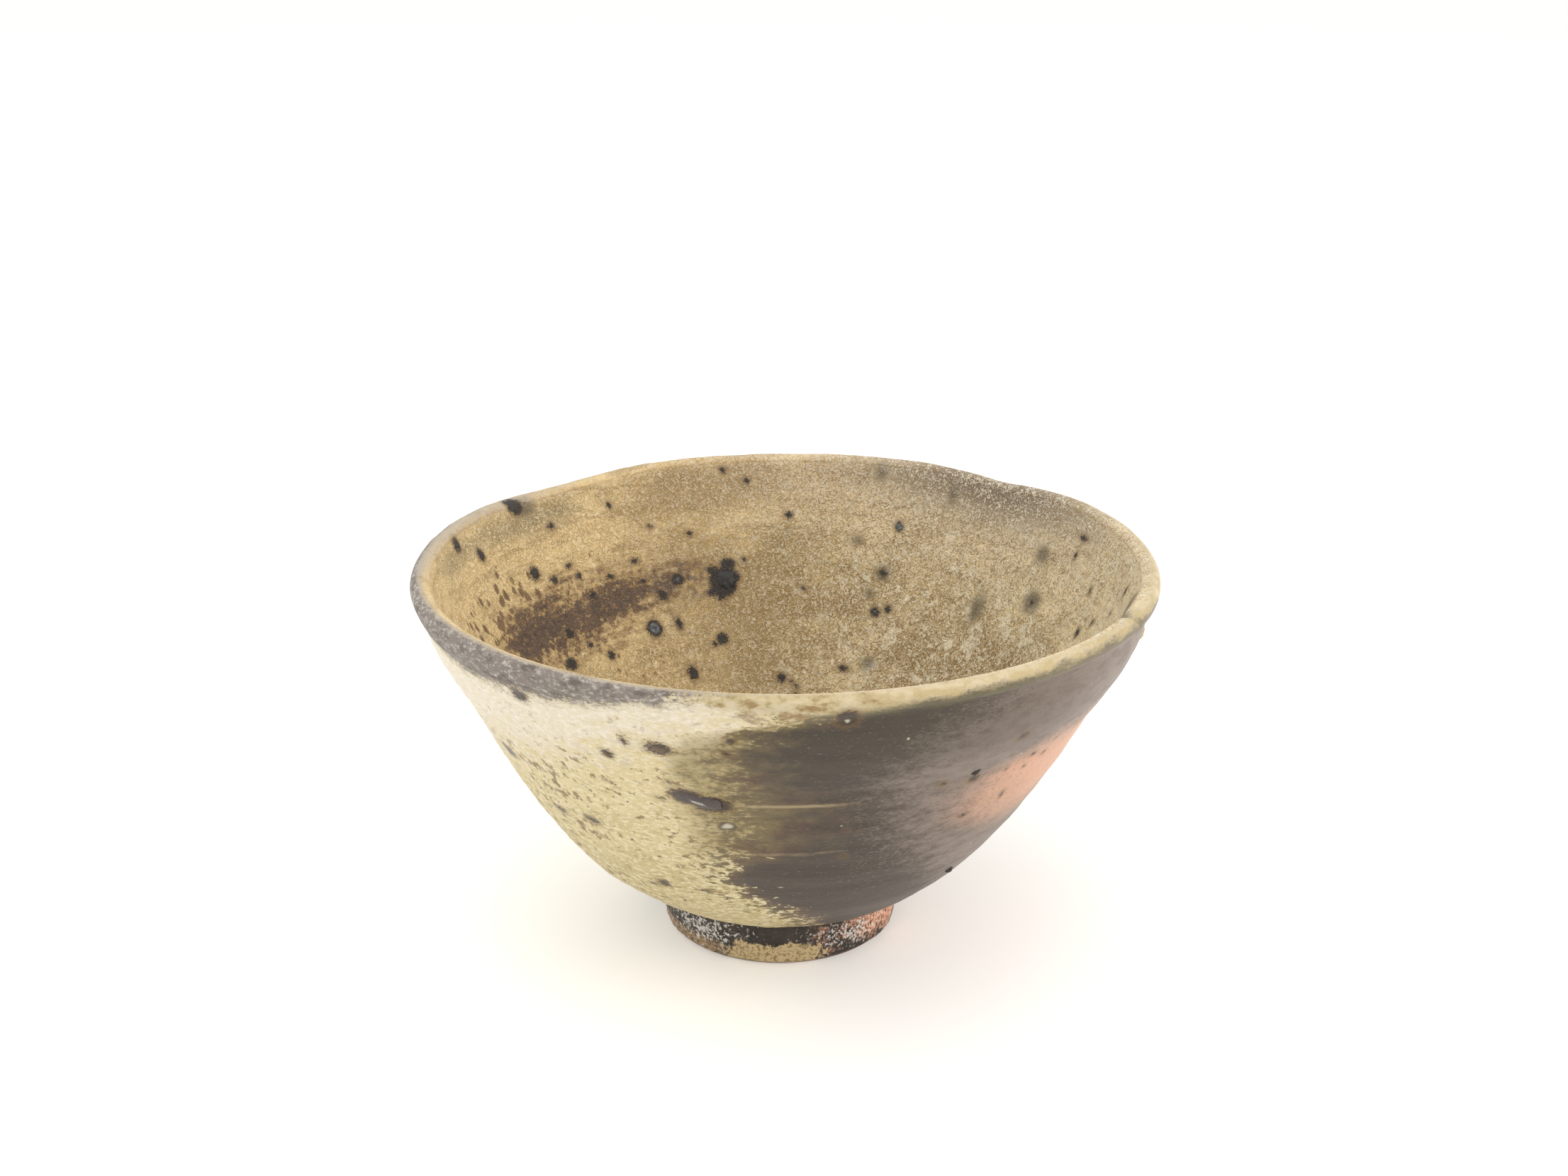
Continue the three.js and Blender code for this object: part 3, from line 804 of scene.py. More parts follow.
# Dark spots, found as the outside's were: bearing, height, half width and half height
INSIDE_SPOTS = [
    (230, 59.7, 0.9, 0.7), (258, 64, 1.2, 1.5), (252, 60.4, 1.1, 1.4), (216, 60.8, 0.6, 0.7),
    (208, 56.3, 0.6, 0.5), (200, 54, 0.7, 0.6), (192, 64.3, 0.7, 0.7), (187, 62.5, 0.6, 0.6),
    (214, 50.7, 0.9, 0.6), (239, 53.5, 1.3, 1.4), (229.5, 52.5, 0.9, 0.6), (235, 51.4, 1, 0.9),
    (228, 50.6, 0.7, 1), (220.5, 49.3, 0.9, 0.7), (213, 47.1, 0.8, 0.6), (205, 46.8, 1.4, 1.2),
    (209, 44.5, 1.2, 1), (188.5, 49, 0.4, 0.4), (226.5, 47.2, 1, 0.9), (214, 39.2, 1.7, 1.8),
    (207, 39.4, 0.7, 1.2), (238, 42.8, 1.3, 1.1), (233, 40, 0.8, 0.7), (229, 37.6, 1, 0.9),
    (242.5, 38.6, 1.8, 1.2), (196.5, 35.8, 1.2, 1.3), (199, 35.6, 0.6, 0.6), (207, 31.6, 1.1, 1.5),
    (181, 29.7, 0.9, 1), (179, 56.5, 0.8, 0.8), (156, 55.2, 0.9, 1), (157.5, 47.1, 0.8, 0.8),
    (157.5, 40.8, 1, 1), (154.5, 41.3, 0.7, 0.8), (175.5, 43.7, 0.4, 0.4), (162.5, 31.8, 1, 0.7),
    (178, 28.8, 0.45, 0.4), (176, 28.6, 0.4, 0.5), (176, 27.4, 0.45, 0.5), (118, 49.6, 0.5, 0.5),
    (111.5, 63, 1.4, 0.6), (86, 61.8, 0.6, 0.9), (101, 56.8, 0.5, 0.7), (87, 57.4, 0.4, 0.6),
    (93, 53.1, 0.4, 0.7), (112, 59.6, 0.5, 0.7), (97, 50.6, 0.8, 0.9), (194, 45.4, 2.8, 3),
    (192.8, 48.4, 1.5, 1.3), (196.9, 44, 1, 0.9), (194.6, 42.8, 1.1, 0.9), (190.8, 46, 0.9, 1),
    (196.5, 47.3, 1, 0.9), (237.8, 66.2, 1.5, 1.3), (237, 65, 1.8, 1.4), (30, 48, 1.1, 1),
    (-30, 36, 1.3, 1.2), (62, 40, 0.8, 0.9), (-62, 50, 1, 1.1), (8, 30, 0.9, 0.8), (-12, 56, 0.8, 0.7),
]
GLASS_BEADS = [(205, 46.8, 0.6, 0.5), (214, 39.2, 1.1, 1.2), (156, 55.2, 0.6, 0.7), (157.5, 40.8, 0.35, 0.35)]
GREY_SMEARS = [
    (234.8, 64.4, 2.8, 2.2), (132, 45, 1.6, 3.2), (121, 57.5, 2, 1.8), (118, 49.8, 2.6, 2.3),
    (164, 52.3, 1.2, 1.3), (159.5, 43.6, 1.1, 1), (146, 62.2, 0.9, 1.7), (161, 64.8, 1.2, 1.6),
    (156, 32.8, 1.6, 1.6), (76, 63, 2.4, 3.2), (207, 39.4, 1, 1.6), (157.5, 47.1, 1.6, 1.6),
    (62, 66, 2, 1.7),
]
# The char smear runs level: bearing, height and half width at points along it
CHAR = [(203, 46.4, 1.2), (219, 45.2, 2.8), (236, 44.8, 4), (255, 45, 4.4)]
CHAR_STEP = 1.5
CHAR_RAGGED = (0.8, 3, 2, 3)
PLUM_BEARING = 138
PLUM_HALF_WIDTH = 32
PLUM_DEPTH = 8
WELL = 38
# How far to the right the glaze begins to be greyed, and where it is grey
GREYED = (-0.3, 0.5)
# Painted shade: the deep inside and the back under the lip are darkened in the glaze's colour, partly where it
# pooled
# Where the glaze is browner, pooled and shaded: bearing, height, half width in degrees and half height
POOLS_AND_SHADE = [(180, 38, 45, 22), (190, 62, 28, 7), (128, 33, 60, 18), (0, 30, 60, 22), (-100, 26, 70, 14)]
# Where the kiln peppered it: a patch in the same way, and more thinly all over the left, but less near the lip
PEPPERED = (255, 47, 26, 14)
PEPPERED_RANGE = (0, 0.7)
PEPPERED_MOST = 1.1
PEPPER_LEFT = 0.62
PEPPER_LEFT_RANGE = (-0.15, 0.75)
PEPPER_LOSS = 0.8
PEPPER_TOP = (52, 60)
# Painted shade: an olive-grey band under the lip on the left, partly an olive tinge of the glaze
# The dull, shaded stretch under the lip: where it begins and ends going round, and the depth of its middle
DULL_SHADE_BEGINS = (212, 234)
DULL_SHADE_ENDS = (262, 275)
DULL_SHADE_DEPTH = 3.6
# The dry edge on the left: where it begins and ends going left, and how far down it reaches
RIM_BEGINS = (70, 90)
RIM_ENDS = (115, 150)
RIM_DEPTH = 1.5

lining = copied("inside_glaze", "inside_lining")
rounded(lining, INSIDE_LEVELS)
refined(lining, values(lining.data.polygons, "normal", 3)[:, 2] > 0)


def lining_relief(points):
    """Relief of the lining: faint finger rings, slow swells, fine grain, and pebbles of fused grit."""
    bearing, _, height = around(points)
    turn = (height - bearing / 360 * RING_PITCH) / RING_PITCH
    relief = INSIDE_RINGS * np.sin(2 * math.pi * turn) * rise(height, *INSIDE_RINGS_FROM)
    relief += lumps(points, *INSIDE_SWELL) + lumps(points, *INSIDE_GRAIN)
    return relief + PEBBLE * rise(spot_depth(points, INSIDE_SPOTS, INSIDE), *PEBBLE_RANGE)


def lip_lift(points):
    """How much higher the lip stands at the back than in its solid, but for one dip at the back right."""
    bearing, radius, _ = around(points)
    dip = np.exp(-(((bearing - LIP_DIP_BEARING) / LIP_DIP_HALF_WIDTH) ** 2))
    at_back = rise(points[:, 1] / np.maximum(radius, 1), *LIP_LIFT_FROM) * (1 - LIP_DIP * dip)
    return LIP_LIFT * at_back * (1 - rise(below_lip(points), *LIP_LIFT_FADE))


def char_depth(points):
    """How deep each point lies in the char smear."""
    bearings, heights, half_widths = np.array(CHAR, dtype=float).T
    dabs = []
    for bearing in np.arange(bearings[0], bearings[-1], CHAR_STEP):
        half_width = np.interp(bearing, bearings, half_widths)
        dabs.append((bearing, np.interp(bearing, bearings, heights), half_width, half_width))
    return spot_depth(points, dabs, INSIDE)


def mark_inside(piece):
    """Lays the fired zones of the inside on a piece, with painted shade deep in the bowl and under the lip."""
    points = places(piece)
    bearing, radius, height = around(points)
    below = below_lip(points)
    right = points[:, 0] / np.maximum(radius, WELL)
    mark(piece, "greyed", rise(right, *GREYED))
    # The pool patches are partly pooled glaze and partly painted shade
    mark(piece, "pool_and_shade", patches(points, POOLS_AND_SHADE) * rise(radius, 0, WELL))
    pepper = PEPPER_LEFT * rise(-right, *PEPPER_LEFT_RANGE) * (1 - PEPPER_LOSS * rise(height, *PEPPER_TOP))
    mark(piece, "pepper", pepper + PEPPERED_MOST * rise(patch(points, *PEPPERED), *PEPPERED_RANGE))
    turn = bearing % 360
    # The dull band under the lip is partly painted shade
    dull_and_shade = rise(turn, *DULL_SHADE_BEGINS) * (1 - rise(turn, *DULL_SHADE_ENDS))
    mark(piece, "dull_and_shade", dull_and_shade * (1 - abs(below - DULL_SHADE_DEPTH) / DULL_SHADE_DEPTH))
    rim = rise(-bearing, *RIM_BEGINS) * (1 - rise(-bearing, *RIM_ENDS))
    mark(piece, "rim", rim * (1 - below / RIM_DEPTH))
    mark(piece, "char", char_depth(points) + lumps(points, *CHAR_RAGGED))
    mark(piece, "plum", 1 - np.hypot(turned(bearing, PLUM_BEARING) / PLUM_HALF_WIDTH, below / PLUM_DEPTH))
    for name, spots in {"fleck": INSIDE_SPOTS, "glass": GLASS_BEADS, "smear": GREY_SMEARS}.items():
        mark(piece, name, spot_depth(points, spots, INSIDE))


# Its edge is drawn up along the flare, so that it runs out on the round of the lip
points = places(lining)
inner_face = values(lining.data.vertices, "normal", 3)[:, 2] > INNER_SLOPE
edge_run = INSIDE_EDGE_RUN * (1 - rise(below_lip(points), *INSIDE_EDGE_RUNS))
from_axis = np.maximum(around(points)[1], 1)
points[:, :2] *= (1 + edge_run * math.cos(FLARE) / from_axis)[:, None]
points[:, 2] += edge_run * math.sin(FLARE)
into_lip = INSIDE_EDGE_SUNK * (1 - rise(below_lip(points), *INSIDE_EDGE_SINKS))
points[:, 2] += lip_lift(points)
put(lining, points)
swell(lining, (lining_relief(points) - into_lip) * inner_face)
mark_inside(lining)

OCHRE = "#e1c68f"
OCHRE_GREY = "#efd8a6"
OCHRE_DEEP = "#aa9061"
OCHRE_PALE = "#f4e8c8"
GRAIN_BROWN = "#755b39"
PEPPER = "#5f4533"
PLUM = "#74665c"
PLUM_VEIL = "#cfb796"
DULL_OLIVE_SHADE = "#9d8e69"
SOOT = "#8a6b47"
CHAR_BROWN = "#5b4b43"
CHAR_BLACK = "#3d322d"
SMEAR_GREY = "#665d49"
FLECK_BLACK = "#322d29"
FLECK_HALO = "#6a543d"
GLASS_BLUE = "#87929a"
GLASS_DEEP = "#525a60"
GLASS_MATT = 0.15
CREST_PALE = "#b5ab9a"
GLAZE_IOR = 1.5
# Sizes of the inside's patterns in millimetres, and their stretch
CRYSTAL = 0.75
SPECK = 1.2
PEPPER_CELL = 1.7
BLOOM = 3
INSIDE_CLOUD = 11
INSIDE_RING = 10
RING_STRETCH = (1, 1, 7)
PEPPER_STRETCH = (1, 1, 0.6)
# The largest pepper speck's share of its cell
PEPPER_SHARE = 0.46


def ochre_inside(tree):
    """Colour, roughness and fine relief of the lining, worked out from the zones marked on it."""
    mm = millimetres(tree)
    drawn = add(tree, "VectorMath", {0: mm, 1: RING_STRETCH}, operation="MULTIPLY")
    upright = add(tree, "VectorMath", {0: mm, 1: PEPPER_STRETCH}, operation="MULTIPLY")
    zone = {}
    for name in ("greyed", "pool_and_shade", "pepper", "dull_and_shade", "rim", "char", "plum", "fleck", "glass", "smear"):
        zone[name] = add(tree, "Attribute", out="Fac", attribute_name=name)
    clouds, rings, blooms, specks, grain = (
        add(tree, "TexNoise", {
            "Vector": vector, "Scale": 1 / size, "Detail": detail, "Roughness": 0.6, "Distortion": distortion})
        for vector, size, detail, distortion in (
            (mm, INSIDE_CLOUD, 5, 0), (drawn, INSIDE_RING, 4, 0), (mm, BLOOM, 3, 0), (mm, SPECK, 3, 0),
            (mm, CRYSTAL, 2, 2),
        )
    )
    rough = add(tree, "Math", {0: grain, 1: NOISE_MIDDLE}, operation="SUBTRACT")

    # Glaze body: yellow to the left, greyed to the right, browner where it pooled and shaded, ringed, and plum
    # at the back
    # The browner share is partly pooled glaze and partly painted shade of the deep inside
    pooled_and_shaded = share(tree, stirred(tree, zone["pool_and_shade"], (clouds, 2)), 1, 1.75)
    ring = share(tree, rings, 0.48, 0.62, 0.6)
    bloom = share(tree, blooms, 0.55, 0.66, 0.9, within=zone["greyed"])
    # Painted shade under the lip on the left, partly an olive tinge
    dull_and_shade = share(tree, stirred(tree, zone["dull_and_shade"], (clouds, 1.2)), 0.8, 1.5, 0.8)
    veil = share(tree, zone["plum"], -1.4, 0.2, 0.6)
    plum = share(tree, stirred(tree, zone["plum"], (rough, 3)), -0.15, 0.6, 0.9)

    # Crystal grain, stronger on the right, and brown pepper on the left
    grainy = add(tree, "MapRange", {"Value": zone["greyed"], "To Min": 0.5, "To Max": 0.9})
    pale = share(tree, grain, 0.51, 0.6, within=grainy)
    dark = share(tree, grain, 0.47, 0.4, 0.7, within=grainy)
    cells = add(tree, "TexVoronoi", {"Vector": upright, "Scale": 1 / PEPPER_CELL}, out="Distance")
    speck = add(tree, "SeparateColor", {0: cells.node.outputs["Color"]}, out="Red")
    speck = add(tree, "Math", {0: speck, 1: zone["pepper"]}, operation="MULTIPLY")
    speck = stirred(tree, rough, (speck, PEPPER_SHARE))
    speck = add(tree, "Math", {0: speck, 1: cells}, operation="SUBTRACT")
    speck = share(tree, speck, 0, 0.12, 0.85)

    # Grey smears, soot and char
    smear = share(tree, stirred(tree, zone["smear"], (rough, 3)), -0.9, 1.4, 0.85, soft=True)
    char_at = stirred(tree, zone["char"], (rings, 9), (blooms, 9), (rough, 10), (specks, 15))
    soot = share(tree, char_at, 11, 17.5, 0.7, soft=True)
    char = share(tree, char_at, 15, 18.4, 0.92, soft=True)
    burnt = add(tree, "ValToRGB", {"Fac": specks}, stops=[(0.34, CHAR_BLACK), (0.55, CHAR_BROWN), (0.72, SOOT)])

    # Dry, pale edge on the left of the lip, and iron flecks with halos, some with a bead of blue-grey glass
    rim = share(tree, stirred(tree, zone["rim"], (rough, 3.5)), 0.1, 0.9, 0.8)
    fleck_at = stirred(tree, zone["fleck"], (rough, 2.2))
    halo = share(tree, fleck_at, -0.7, 0.1, 0.6)
    fleck = share(tree, fleck_at, -0.1, 0.3, soft=True)
    glass_at = stirred(tree, zone["glass"], (rough, 1.2))
    glass = share(tree, glass_at, 0, 0.35, 0.75)
    bead = add(tree, "ValToRGB", {"Fac": glass_at}, stops=[(0.3, GLASS_BLUE), (0.6, GLASS_DEEP)])
    body = laid(tree, OCHRE, [
        (zone["greyed"], OCHRE_GREY), (pooled_and_shaded, OCHRE_DEEP), (ring, OCHRE_DEEP), (bloom, OCHRE_PALE),
        (dull_and_shade, DULL_OLIVE_SHADE), (veil, PLUM_VEIL), (plum, PLUM), (pale, OCHRE_PALE), (dark, GRAIN_BROWN),
        (speck, PEPPER), (smear, SMEAR_GREY), (soot, SOOT), (char, burnt), (rim, CREST_PALE),
        (halo, FLECK_HALO), (fleck, FLECK_BLACK), (glass, bead),
    ])

    matt = add(tree, "MapRange", {"Value": grain, "To Min": 0.62, "To Max": 0.42} | GRAIN_SPAN)
    matt = add(tree, "Mix", {0: glass, 2: matt, 3: GLASS_MATT})
    return body, matt, grain


# Ochre ash glaze: a satin skin of fine crystals, which sparkles a little and hides the clay
ochre_glaze, tree = blank("Ochre ash glaze")
surfaced(tree, *ochre_inside(tree), strength=1, depth=0.5, gloss={"IOR": GLAZE_IOR})
lining.data.materials.append(ochre_glaze)
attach(lining, "root")
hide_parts("inside_glaze")

# Lip
# The rounded lip, where the glaze ran over the edge in the fire and met the ash on the outside.
# It is a dry grey band on the left, a cream bead from the front to the right, and thin and tan at the back.
LIP_LEVELS = 3
LIP_ROUND = 1.8
LIP_SKIN = 0.35
LIP_TOP_MARGIN = 0.05
SKIRT_OUTSIDE = 4.2
SKIRT_OUTSIDE_FROM = 0.5
SKIRT_OUTSIDE_RUN = 3
SKIRT_OUTSIDE_SINK = 0.98
SKIRT_INSIDE_SINK = 0.45
SKIRT_INSIDE_SINKS = (-0.2, 1)
SKIRT_THINS_FROM = 1
# The skirt takes on the relief of the wall or the lining between these places down the flare
SKIRT_SKIN = (-0.6, 1.2)
LIP_WAVER = (0.14, 6)
LIP_GRAIN = (0.06, 1.3)
LIP_CALM = 0.8
LIP_CALM_FROM = (0.6, 1.5)
NICK_BEARING = 62
NICK_HALF_WIDTH = 1.3
NICK_DEPTH = 0.8
NICK_FADE = (-1, 1.5)
# The bead is missing on the left, between two bearings, and its edge is steep
BEAD_LEAST = 0.3
BEAD_STOPS = (2, 16)
BEAD_RETURNS = (105, 125)
BEAD_EDGE = (-0.3, 1.9)
INNER_FROM = (0.3, 1.5)
# The pale line along the crest is partly thin dry glaze and partly painted highlight
# The pale crest: its place and half widths in the lip's section, and how it widens and fades going round
CREST_PLACE = (-0.8, -1.4)
CREST_HALF = (0.55, 0.7)
CREST_WIDENS = (62, 86)
CREST_WIDER = 0.45
CREST_WET = 0.75
CREST_WET_FROM = (-14, 4)
CREST_WET_TO = (100, 130)
CREST_BACK = 0.6
CREST_BACK_FROM = (125, 165)

lip = copied("lip_glaze", "lip_roll")
rounded(lip, LIP_LEVELS)
lip_radii = np.zeros(LIP_COLUMNS)
at_top = lip_height > lip_tops[lip_column] - LIP_TOP_MARGIN
lip_radii[lip_column[at_top]] = lip_radius[at_top]


def lip_section(points):
    """Each point's place in the lip's section: how far out from its middle line, and how far down the flare."""
    bearing, radius, _ = around(points)
    from_middle = radius - on_lip(bearing, lip_radii)
    from_centre = LIP_ROUND - below_lip(points)
    out = from_middle * math.sin(FLARE) - from_centre * math.cos(FLARE)
    down = -(from_middle * math.cos(FLARE) + from_centre * math.sin(FLARE))
    return out, down


points = places(lip)
bearing, radius, _ = around(points)
out, down = lip_section(points)
outer_face = np.hypot(out, np.minimum(down, 0)) > LIP_ROUND - LIP_SKIN
on_outside = out > 0

# The outside skirt runs down the flare and sinks into the wall, and the inside one dips under the lining
run = SKIRT_OUTSIDE_RUN * rise(down, SKIRT_OUTSIDE_FROM, SKIRT_OUTSIDE) * on_outside
reach = down + run
beaded = 1 - rise(-bearing, *BEAD_STOPS) * (1 - rise(-bearing, *BEAD_RETURNS))
bead_end = np.maximum((along(bearing, CREAM_BEAD) - LIP_ROUND) / math.sin(FLARE), BEAD_LEAST)
thinning = rise(reach, SKIRT_THINS_FROM, SKIRT_OUTSIDE + SKIRT_OUTSIDE_RUN)
bead_edge = rise(reach, bead_end + BEAD_EDGE[0], bead_end + BEAD_EDGE[1])
sink_outside = SKIRT_OUTSIDE_SINK * (thinning + (bead_edge - thinning) * beaded)
sink = np.where(on_outside, sink_outside, -SKIRT_INSIDE_SINK * rise(down, *SKIRT_INSIDE_SINKS))
inwards = -run * math.cos(FLARE) - sink * math.sin(FLARE)
upwards = -run * math.sin(FLARE) + sink * math.cos(FLARE)
points[:, 0] += inwards * points[:, 0] / radius
points[:, 1] += inwards * points[:, 1] / radius
points[:, 2] += upwards
nick = np.exp(-(((bearing - NICK_BEARING) * radius * math.pi / 180 / NICK_HALF_WIDTH) ** 2))
points[:, 2] -= NICK_DEPTH * nick * (1 - rise(down, *NICK_FADE))
points[:, 2] += lip_lift(points)
put(lip, points)
skin = np.where(on_outside, wheel_marks(points), lining_relief(points))
roll = lumps(points, *LIP_WAVER) + lumps(points, *LIP_GRAIN)
roll *= 1 - LIP_CALM * rise(-out, *LIP_CALM_FROM)
swell(lip, (roll + (skin - roll) * rise(down, *SKIRT_SKIN)) * outer_face)

mark_outside(lip)
mark_inside(lip)
out, down = lip_section(places(lip))
mark(lip, "inner", rise(-out, *INNER_FROM))
from_crest = np.hypot((out - CREST_PLACE[0]) / CREST_HALF[0], (down - CREST_PLACE[1]) / CREST_HALF[1])
mark(lip, "crest", 1 - from_crest / (1 + CREST_WIDER * rise(-bearing, *CREST_WIDENS)))
# Where the pale crest line shows, partly painted highlight: less where the bead is wet and at the back
dry = 1 - CREST_WET * rise(bearing, *CREST_WET_FROM) * (1 - rise(bearing, *CREST_WET_TO))
mark(lip, "crest_paleness", dry * (1 - CREST_BACK * rise(-bearing, *CREST_BACK_FROM)))

# Lip glaze: thin and dry over the edge, where the clay shows through, and fat and glossy in the bead
rim_glaze, tree = blank("Run lip glaze")
outer_colour, outer_rough, outer_relief = fired_outside(tree)
inner_colour, inner_rough, inner_relief = ochre_inside(tree)
zone = {}
for name in ("inner", "crest", "crest_paleness"):
    zone[name] = add(tree, "Attribute", out="Fac", attribute_name=name)
# Painted highlight: a pale line along the crest, partly thin dry glaze
paled = share(tree, stirred(tree, zone["crest"], (inner_relief, 3)), 1.75, 2.4, 0.9, within=zone["crest_paleness"])
colour = laid(tree, outer_colour, [(zone["inner"], inner_colour), (paled, CREST_PALE)])
roughness = add(tree, "Mix", {0: zone["inner"], 2: outer_rough, 3: inner_rough})
relief = add(tree, "Mix", {0: zone["inner"], 2: outer_relief, 3: inner_relief})
surfaced(tree, colour, roughness, relief, strength=0.8, depth=0.2, gloss={"Specular IOR Level": 0.4})
lip.data.materials.append(rim_glaze)
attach(lip, "root")
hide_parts("lip_glaze")

# Kiln crumbs
# Bits of cinder and kiln grit that flew in the fire, landed on the hot glaze and fused to it.
# Each is a low, lumpy blister, rooted in the glaze under it, with an uneven outline.
CRUMB_LEVELS = 3
CRUMB_ROOT = 0.9
CRUMB_LUMP = (0.12, 1.1)
CRUMB_JAG_SIZE = 0.5
CRUMB_LEAST = 0.01
# The painted glint, a pale streak in the colour: its place along a crumb, its half length and half width, and
# how steeply it slants
GLINT_PLACE = 0.2
GLINT_HALF_LENGTH = 1.4
GLINT_HALF_WIDTH = 0.4
GLINT_SLANT = 0.3
CINDER_BLACK = "#1a1817"
CINDER_BROWN = "#4d4341"
CINDER_PALE = "#c3b184"
# Pale colour of the painted glint
CINDER_TAN = "#6a5a42"
CINDER_ASH = "#6d6356"
CINDER_GLINT = "#bdb6aa"
CINDER_GRAIN = 0.7
CINDER_MATT = 0.6


def cinder(name, colour, gloss, glint_share=0.0):
    """A fused cinder: dark and blistered, dusted with a little ash, and on some a painted glint, a pale streak
    in its colour.
    """
    material, tree = blank(name)
    scaled = {"Vector": millimetres(tree), "Scale": 1 / CINDER_GRAIN}
    grain = add(tree, "TexNoise", {"Detail": 4, "Roughness": 0.65} | scaled)
    dust = share(tree, grain, 0.55, 0.75, 0.6)
    # Painted glint: a pale streak in the colour stands in for a highlight
    painted_glint = add(tree, "Attribute", out="Fac", attribute_name="painted_glint")
    painted_glint = share(tree, stirred(tree, painted_glint, (grain, 1.5)), 0.8, 1.2, glint_share)
    base = laid(tree, colour, [(dust, CINDER_ASH), (painted_glint, CINDER_GLINT)])
    matt = add(tree, "MapRange", {"Value": grain, "To Min": gloss, "To Max": CINDER_MATT} | GRAIN_SPAN)
    surfaced(tree, base, matt, grain, strength=0.5, depth=0.15, gloss={"IOR": GLAZE_IOR})
    return material


black_cinder = cinder("Black cinder", CINDER_BLACK, 0.4)
brown_cinder = cinder("Glassy brown cinder", CINDER_BROWN, 0.2, 0.8)
tan_cinder = cinder("Ash-glazed cinder", CINDER_TAN, 0.4)
glazed_grit = cinder("Glazed grit", CINDER_PALE, 0.4)
# Node, piece, the piece that it fused to, its material, how far its right end hangs below its left, its spread,
# its height, and how jagged it is
CRUMBS = [
    ("cinder_inside", "black_splat", lining, black_cinder, 0.0, 0.92, 0.5, 0.25),
    ("cinder_front", "front_cinder", ash, brown_cinder, 2.4, 1.3, 0.4, 0.3),
    ("cinder_shoulder", "shoulder_cinder", ash, tan_cinder, 0.3, 0.95, 0.2, 0.3),
    ("crumb_left", "left_crumb", ash, tan_cinder, 0.4, 0.9, 0.25, 0.4),
    ("crumb_right", "right_crumb", wall, black_cinder, -0.4, 1.0, 0.3, 0.5),
    ("nub_right", "right_nub", wall, black_cinder, 0.0, 1.0, 0.5, 0.3),
    ("lip_bump", "lip_blister", wall, glazed_grit, 0.0, 1.1, 0.6, 0.3),
]
for node, name, ground, material, slant, spread, tall, jag in CRUMBS:
    crumb = copied(node, name)
    rounded(crumb, CRUMB_LEVELS)
    points = places(crumb)
    _, found, normal, _ = ground.closest_point_on_mesh(Vector(points.mean(0) * MM))
    found = np.array(found) / MM
    away = np.array(normal)
    sideways = np.cross((0, 0, 1), away)
    sideways /= np.linalg.norm(sideways)
    upwards = np.cross(away, sideways)
    across = (points - found) @ sideways
    up = (points - found) @ upwards
    proud = (points - found) @ away
    half = abs(across).max()
    ring = np.stack([across, up, np.zeros(len(up))], 1)
    ring /= np.maximum(np.linalg.norm(ring, axis=1), CRUMB_LEAST)[:, None]
    outline = spread * (1 + lumps(ring + found, jag, CRUMB_JAG_SIZE, 1, 3))
    up = up * outline - slant * across / half / 2
    across = across * outline
    level = (proud - proud.min()) / (proud.max() - proud.min())
    proud = level * (CRUMB_ROOT + tall) - CRUMB_ROOT + lumps(points, *CRUMB_LUMP) * level
    put(crumb, found + across[:, None] * sideways + up[:, None] * upwards + proud[:, None] * away)
    # Where the painted glint lies on each crumb
    along_glint = (across - GLINT_PLACE) / GLINT_HALF_LENGTH
    mark(crumb, "painted_glint", 1 - np.hypot(along_glint, (up + GLINT_SLANT * across) / GLINT_HALF_WIDTH))
    crumb.data.materials.append(material)
    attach(crumb, "root")
    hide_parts(node)

# Floor, light and camera
# A plain white table and sweep under soft light from above, with the camera where the photograph was taken.
# To the camera the floor glows a little, so that it stays white and its shadow stays light.
FLOOR_SIZE = 6
FLOOR_GLOW = 0.235
FLOOR_GLOW_TINT = "#fffef7"
FLOOR_BOUNCE = [0.85, 0.85, 0.85, 1]
SKY = 0.76
WHITE = "#ffffff"
LENS = 47.1
CAMERA_PLACE = (0, -0.3253, 0.1788)
CAMERA_PITCH = math.radians(70.05)
LAMP_SIZE = 0.9
# Each lamp's place, watts and colour: the right one is a warm room light
LAMPS = {
    "Top lamp": ((-0.1, 0.05, 0.95), 2.2, WHITE),
    "Left lamp": ((-0.75, -0.25, 0.45), 1.6, WHITE),
    "Right lamp": ((0.78, -0.18, 0.42), 4.3, "#ffeedd"),
}


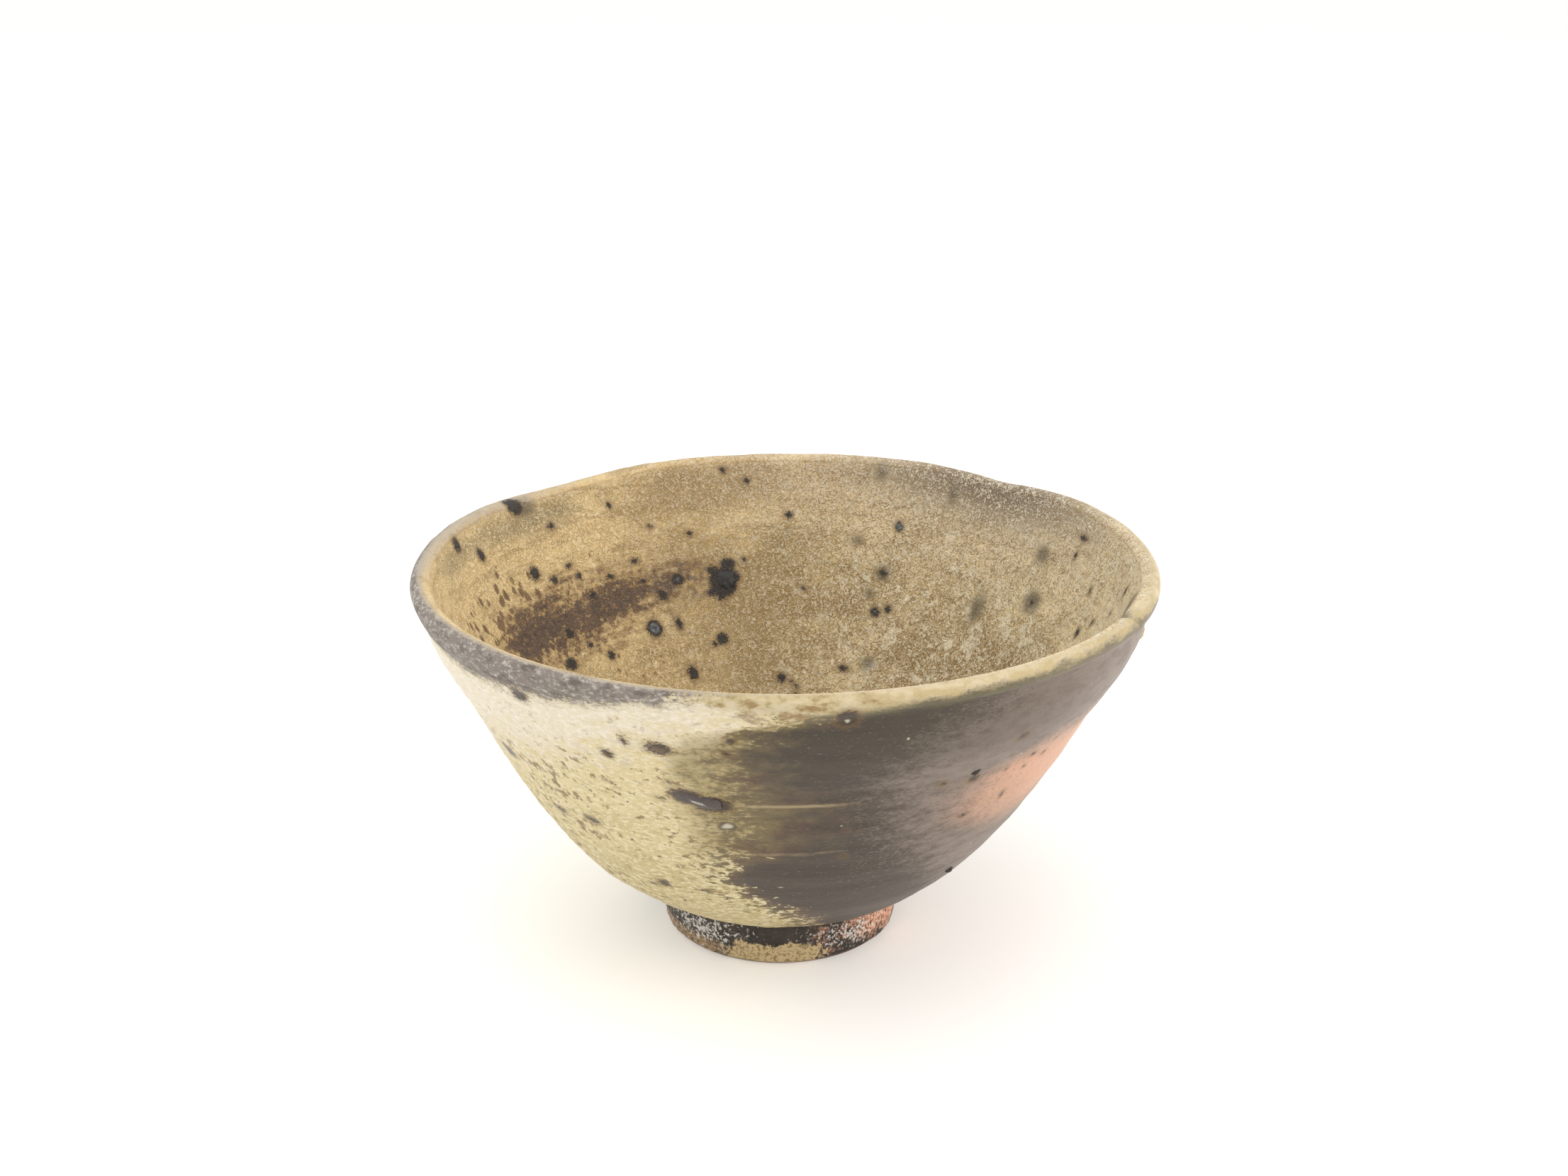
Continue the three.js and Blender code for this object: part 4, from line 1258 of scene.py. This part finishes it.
def seen(tree):
    """1 on what the camera sees, also reflected or through glass, and 0 for light that is only passed on."""
    camera_ray = add(tree, "LightPath", out="Is Camera Ray")
    rays = camera_ray.node.outputs
    total = add(tree, "Math", {0: camera_ray, 1: rays["Is Glossy Ray"]}, operation="ADD")
    return add(tree, "Math", {0: total, 1: rays["Is Transmission Ray"]}, operation="ADD", use_clamp=True)


bpy.ops.object.select_all(action="DESELECT")
bpy.ops.mesh.primitive_plane_add(size=FLOOR_SIZE)
floor = bpy.context.object
floor.name = "floor"
table, tree = blank("White table")
lit = add(tree, "BsdfDiffuse", {"Color": FLOOR_BOUNCE})
shaded = add(tree, "BsdfDiffuse", {"Color": WHITE})
glow = add(tree, "Emission", {"Color": FLOOR_GLOW_TINT, "Strength": FLOOR_GLOW})
glowing = add(tree, "AddShader", {0: shaded, 1: glow})
floor_shader = add(tree, "MixShader", {0: seen(tree), 1: lit, 2: glowing})
add(tree, "OutputMaterial", {"Surface": floor_shader})
floor.data.materials.append(table)

world = bpy.data.worlds.new("White sweep")
bpy.context.scene.world = world
world.use_nodes = True
tree = world.node_tree
tree.nodes.clear()
light = add(tree, "Background", {"Color": WHITE, "Strength": SKY})
white = add(tree, "Background", {"Color": WHITE, "Strength": 1})
sweep = add(tree, "MixShader", {0: seen(tree), 1: light, 2: white})
add(tree, "OutputWorld", {"Surface": sweep})

for name, (place, watts, tint) in LAMPS.items():
    lamp = bpy.data.objects.new(name, bpy.data.lights.new(name, "AREA"))
    lamp.data.size = LAMP_SIZE
    lamp.data.energy = watts
    lamp.data.color = linear(tint)[:3]
    lamp.location = place
    lamp.rotation_euler = (-Vector(place)).to_track_quat("-Z", "Y").to_euler()
    bpy.context.scene.collection.objects.link(lamp)

camera = bpy.data.objects.new("Photo camera", bpy.data.cameras.new("Photo camera"))
camera.data.lens = LENS
camera.location = CAMERA_PLACE
camera.rotation_euler = (CAMERA_PITCH, 0, 0)
bpy.context.scene.collection.objects.link(camera)
bpy.context.scene.camera = camera
bpy.context.scene.view_settings.view_transform = "Standard"
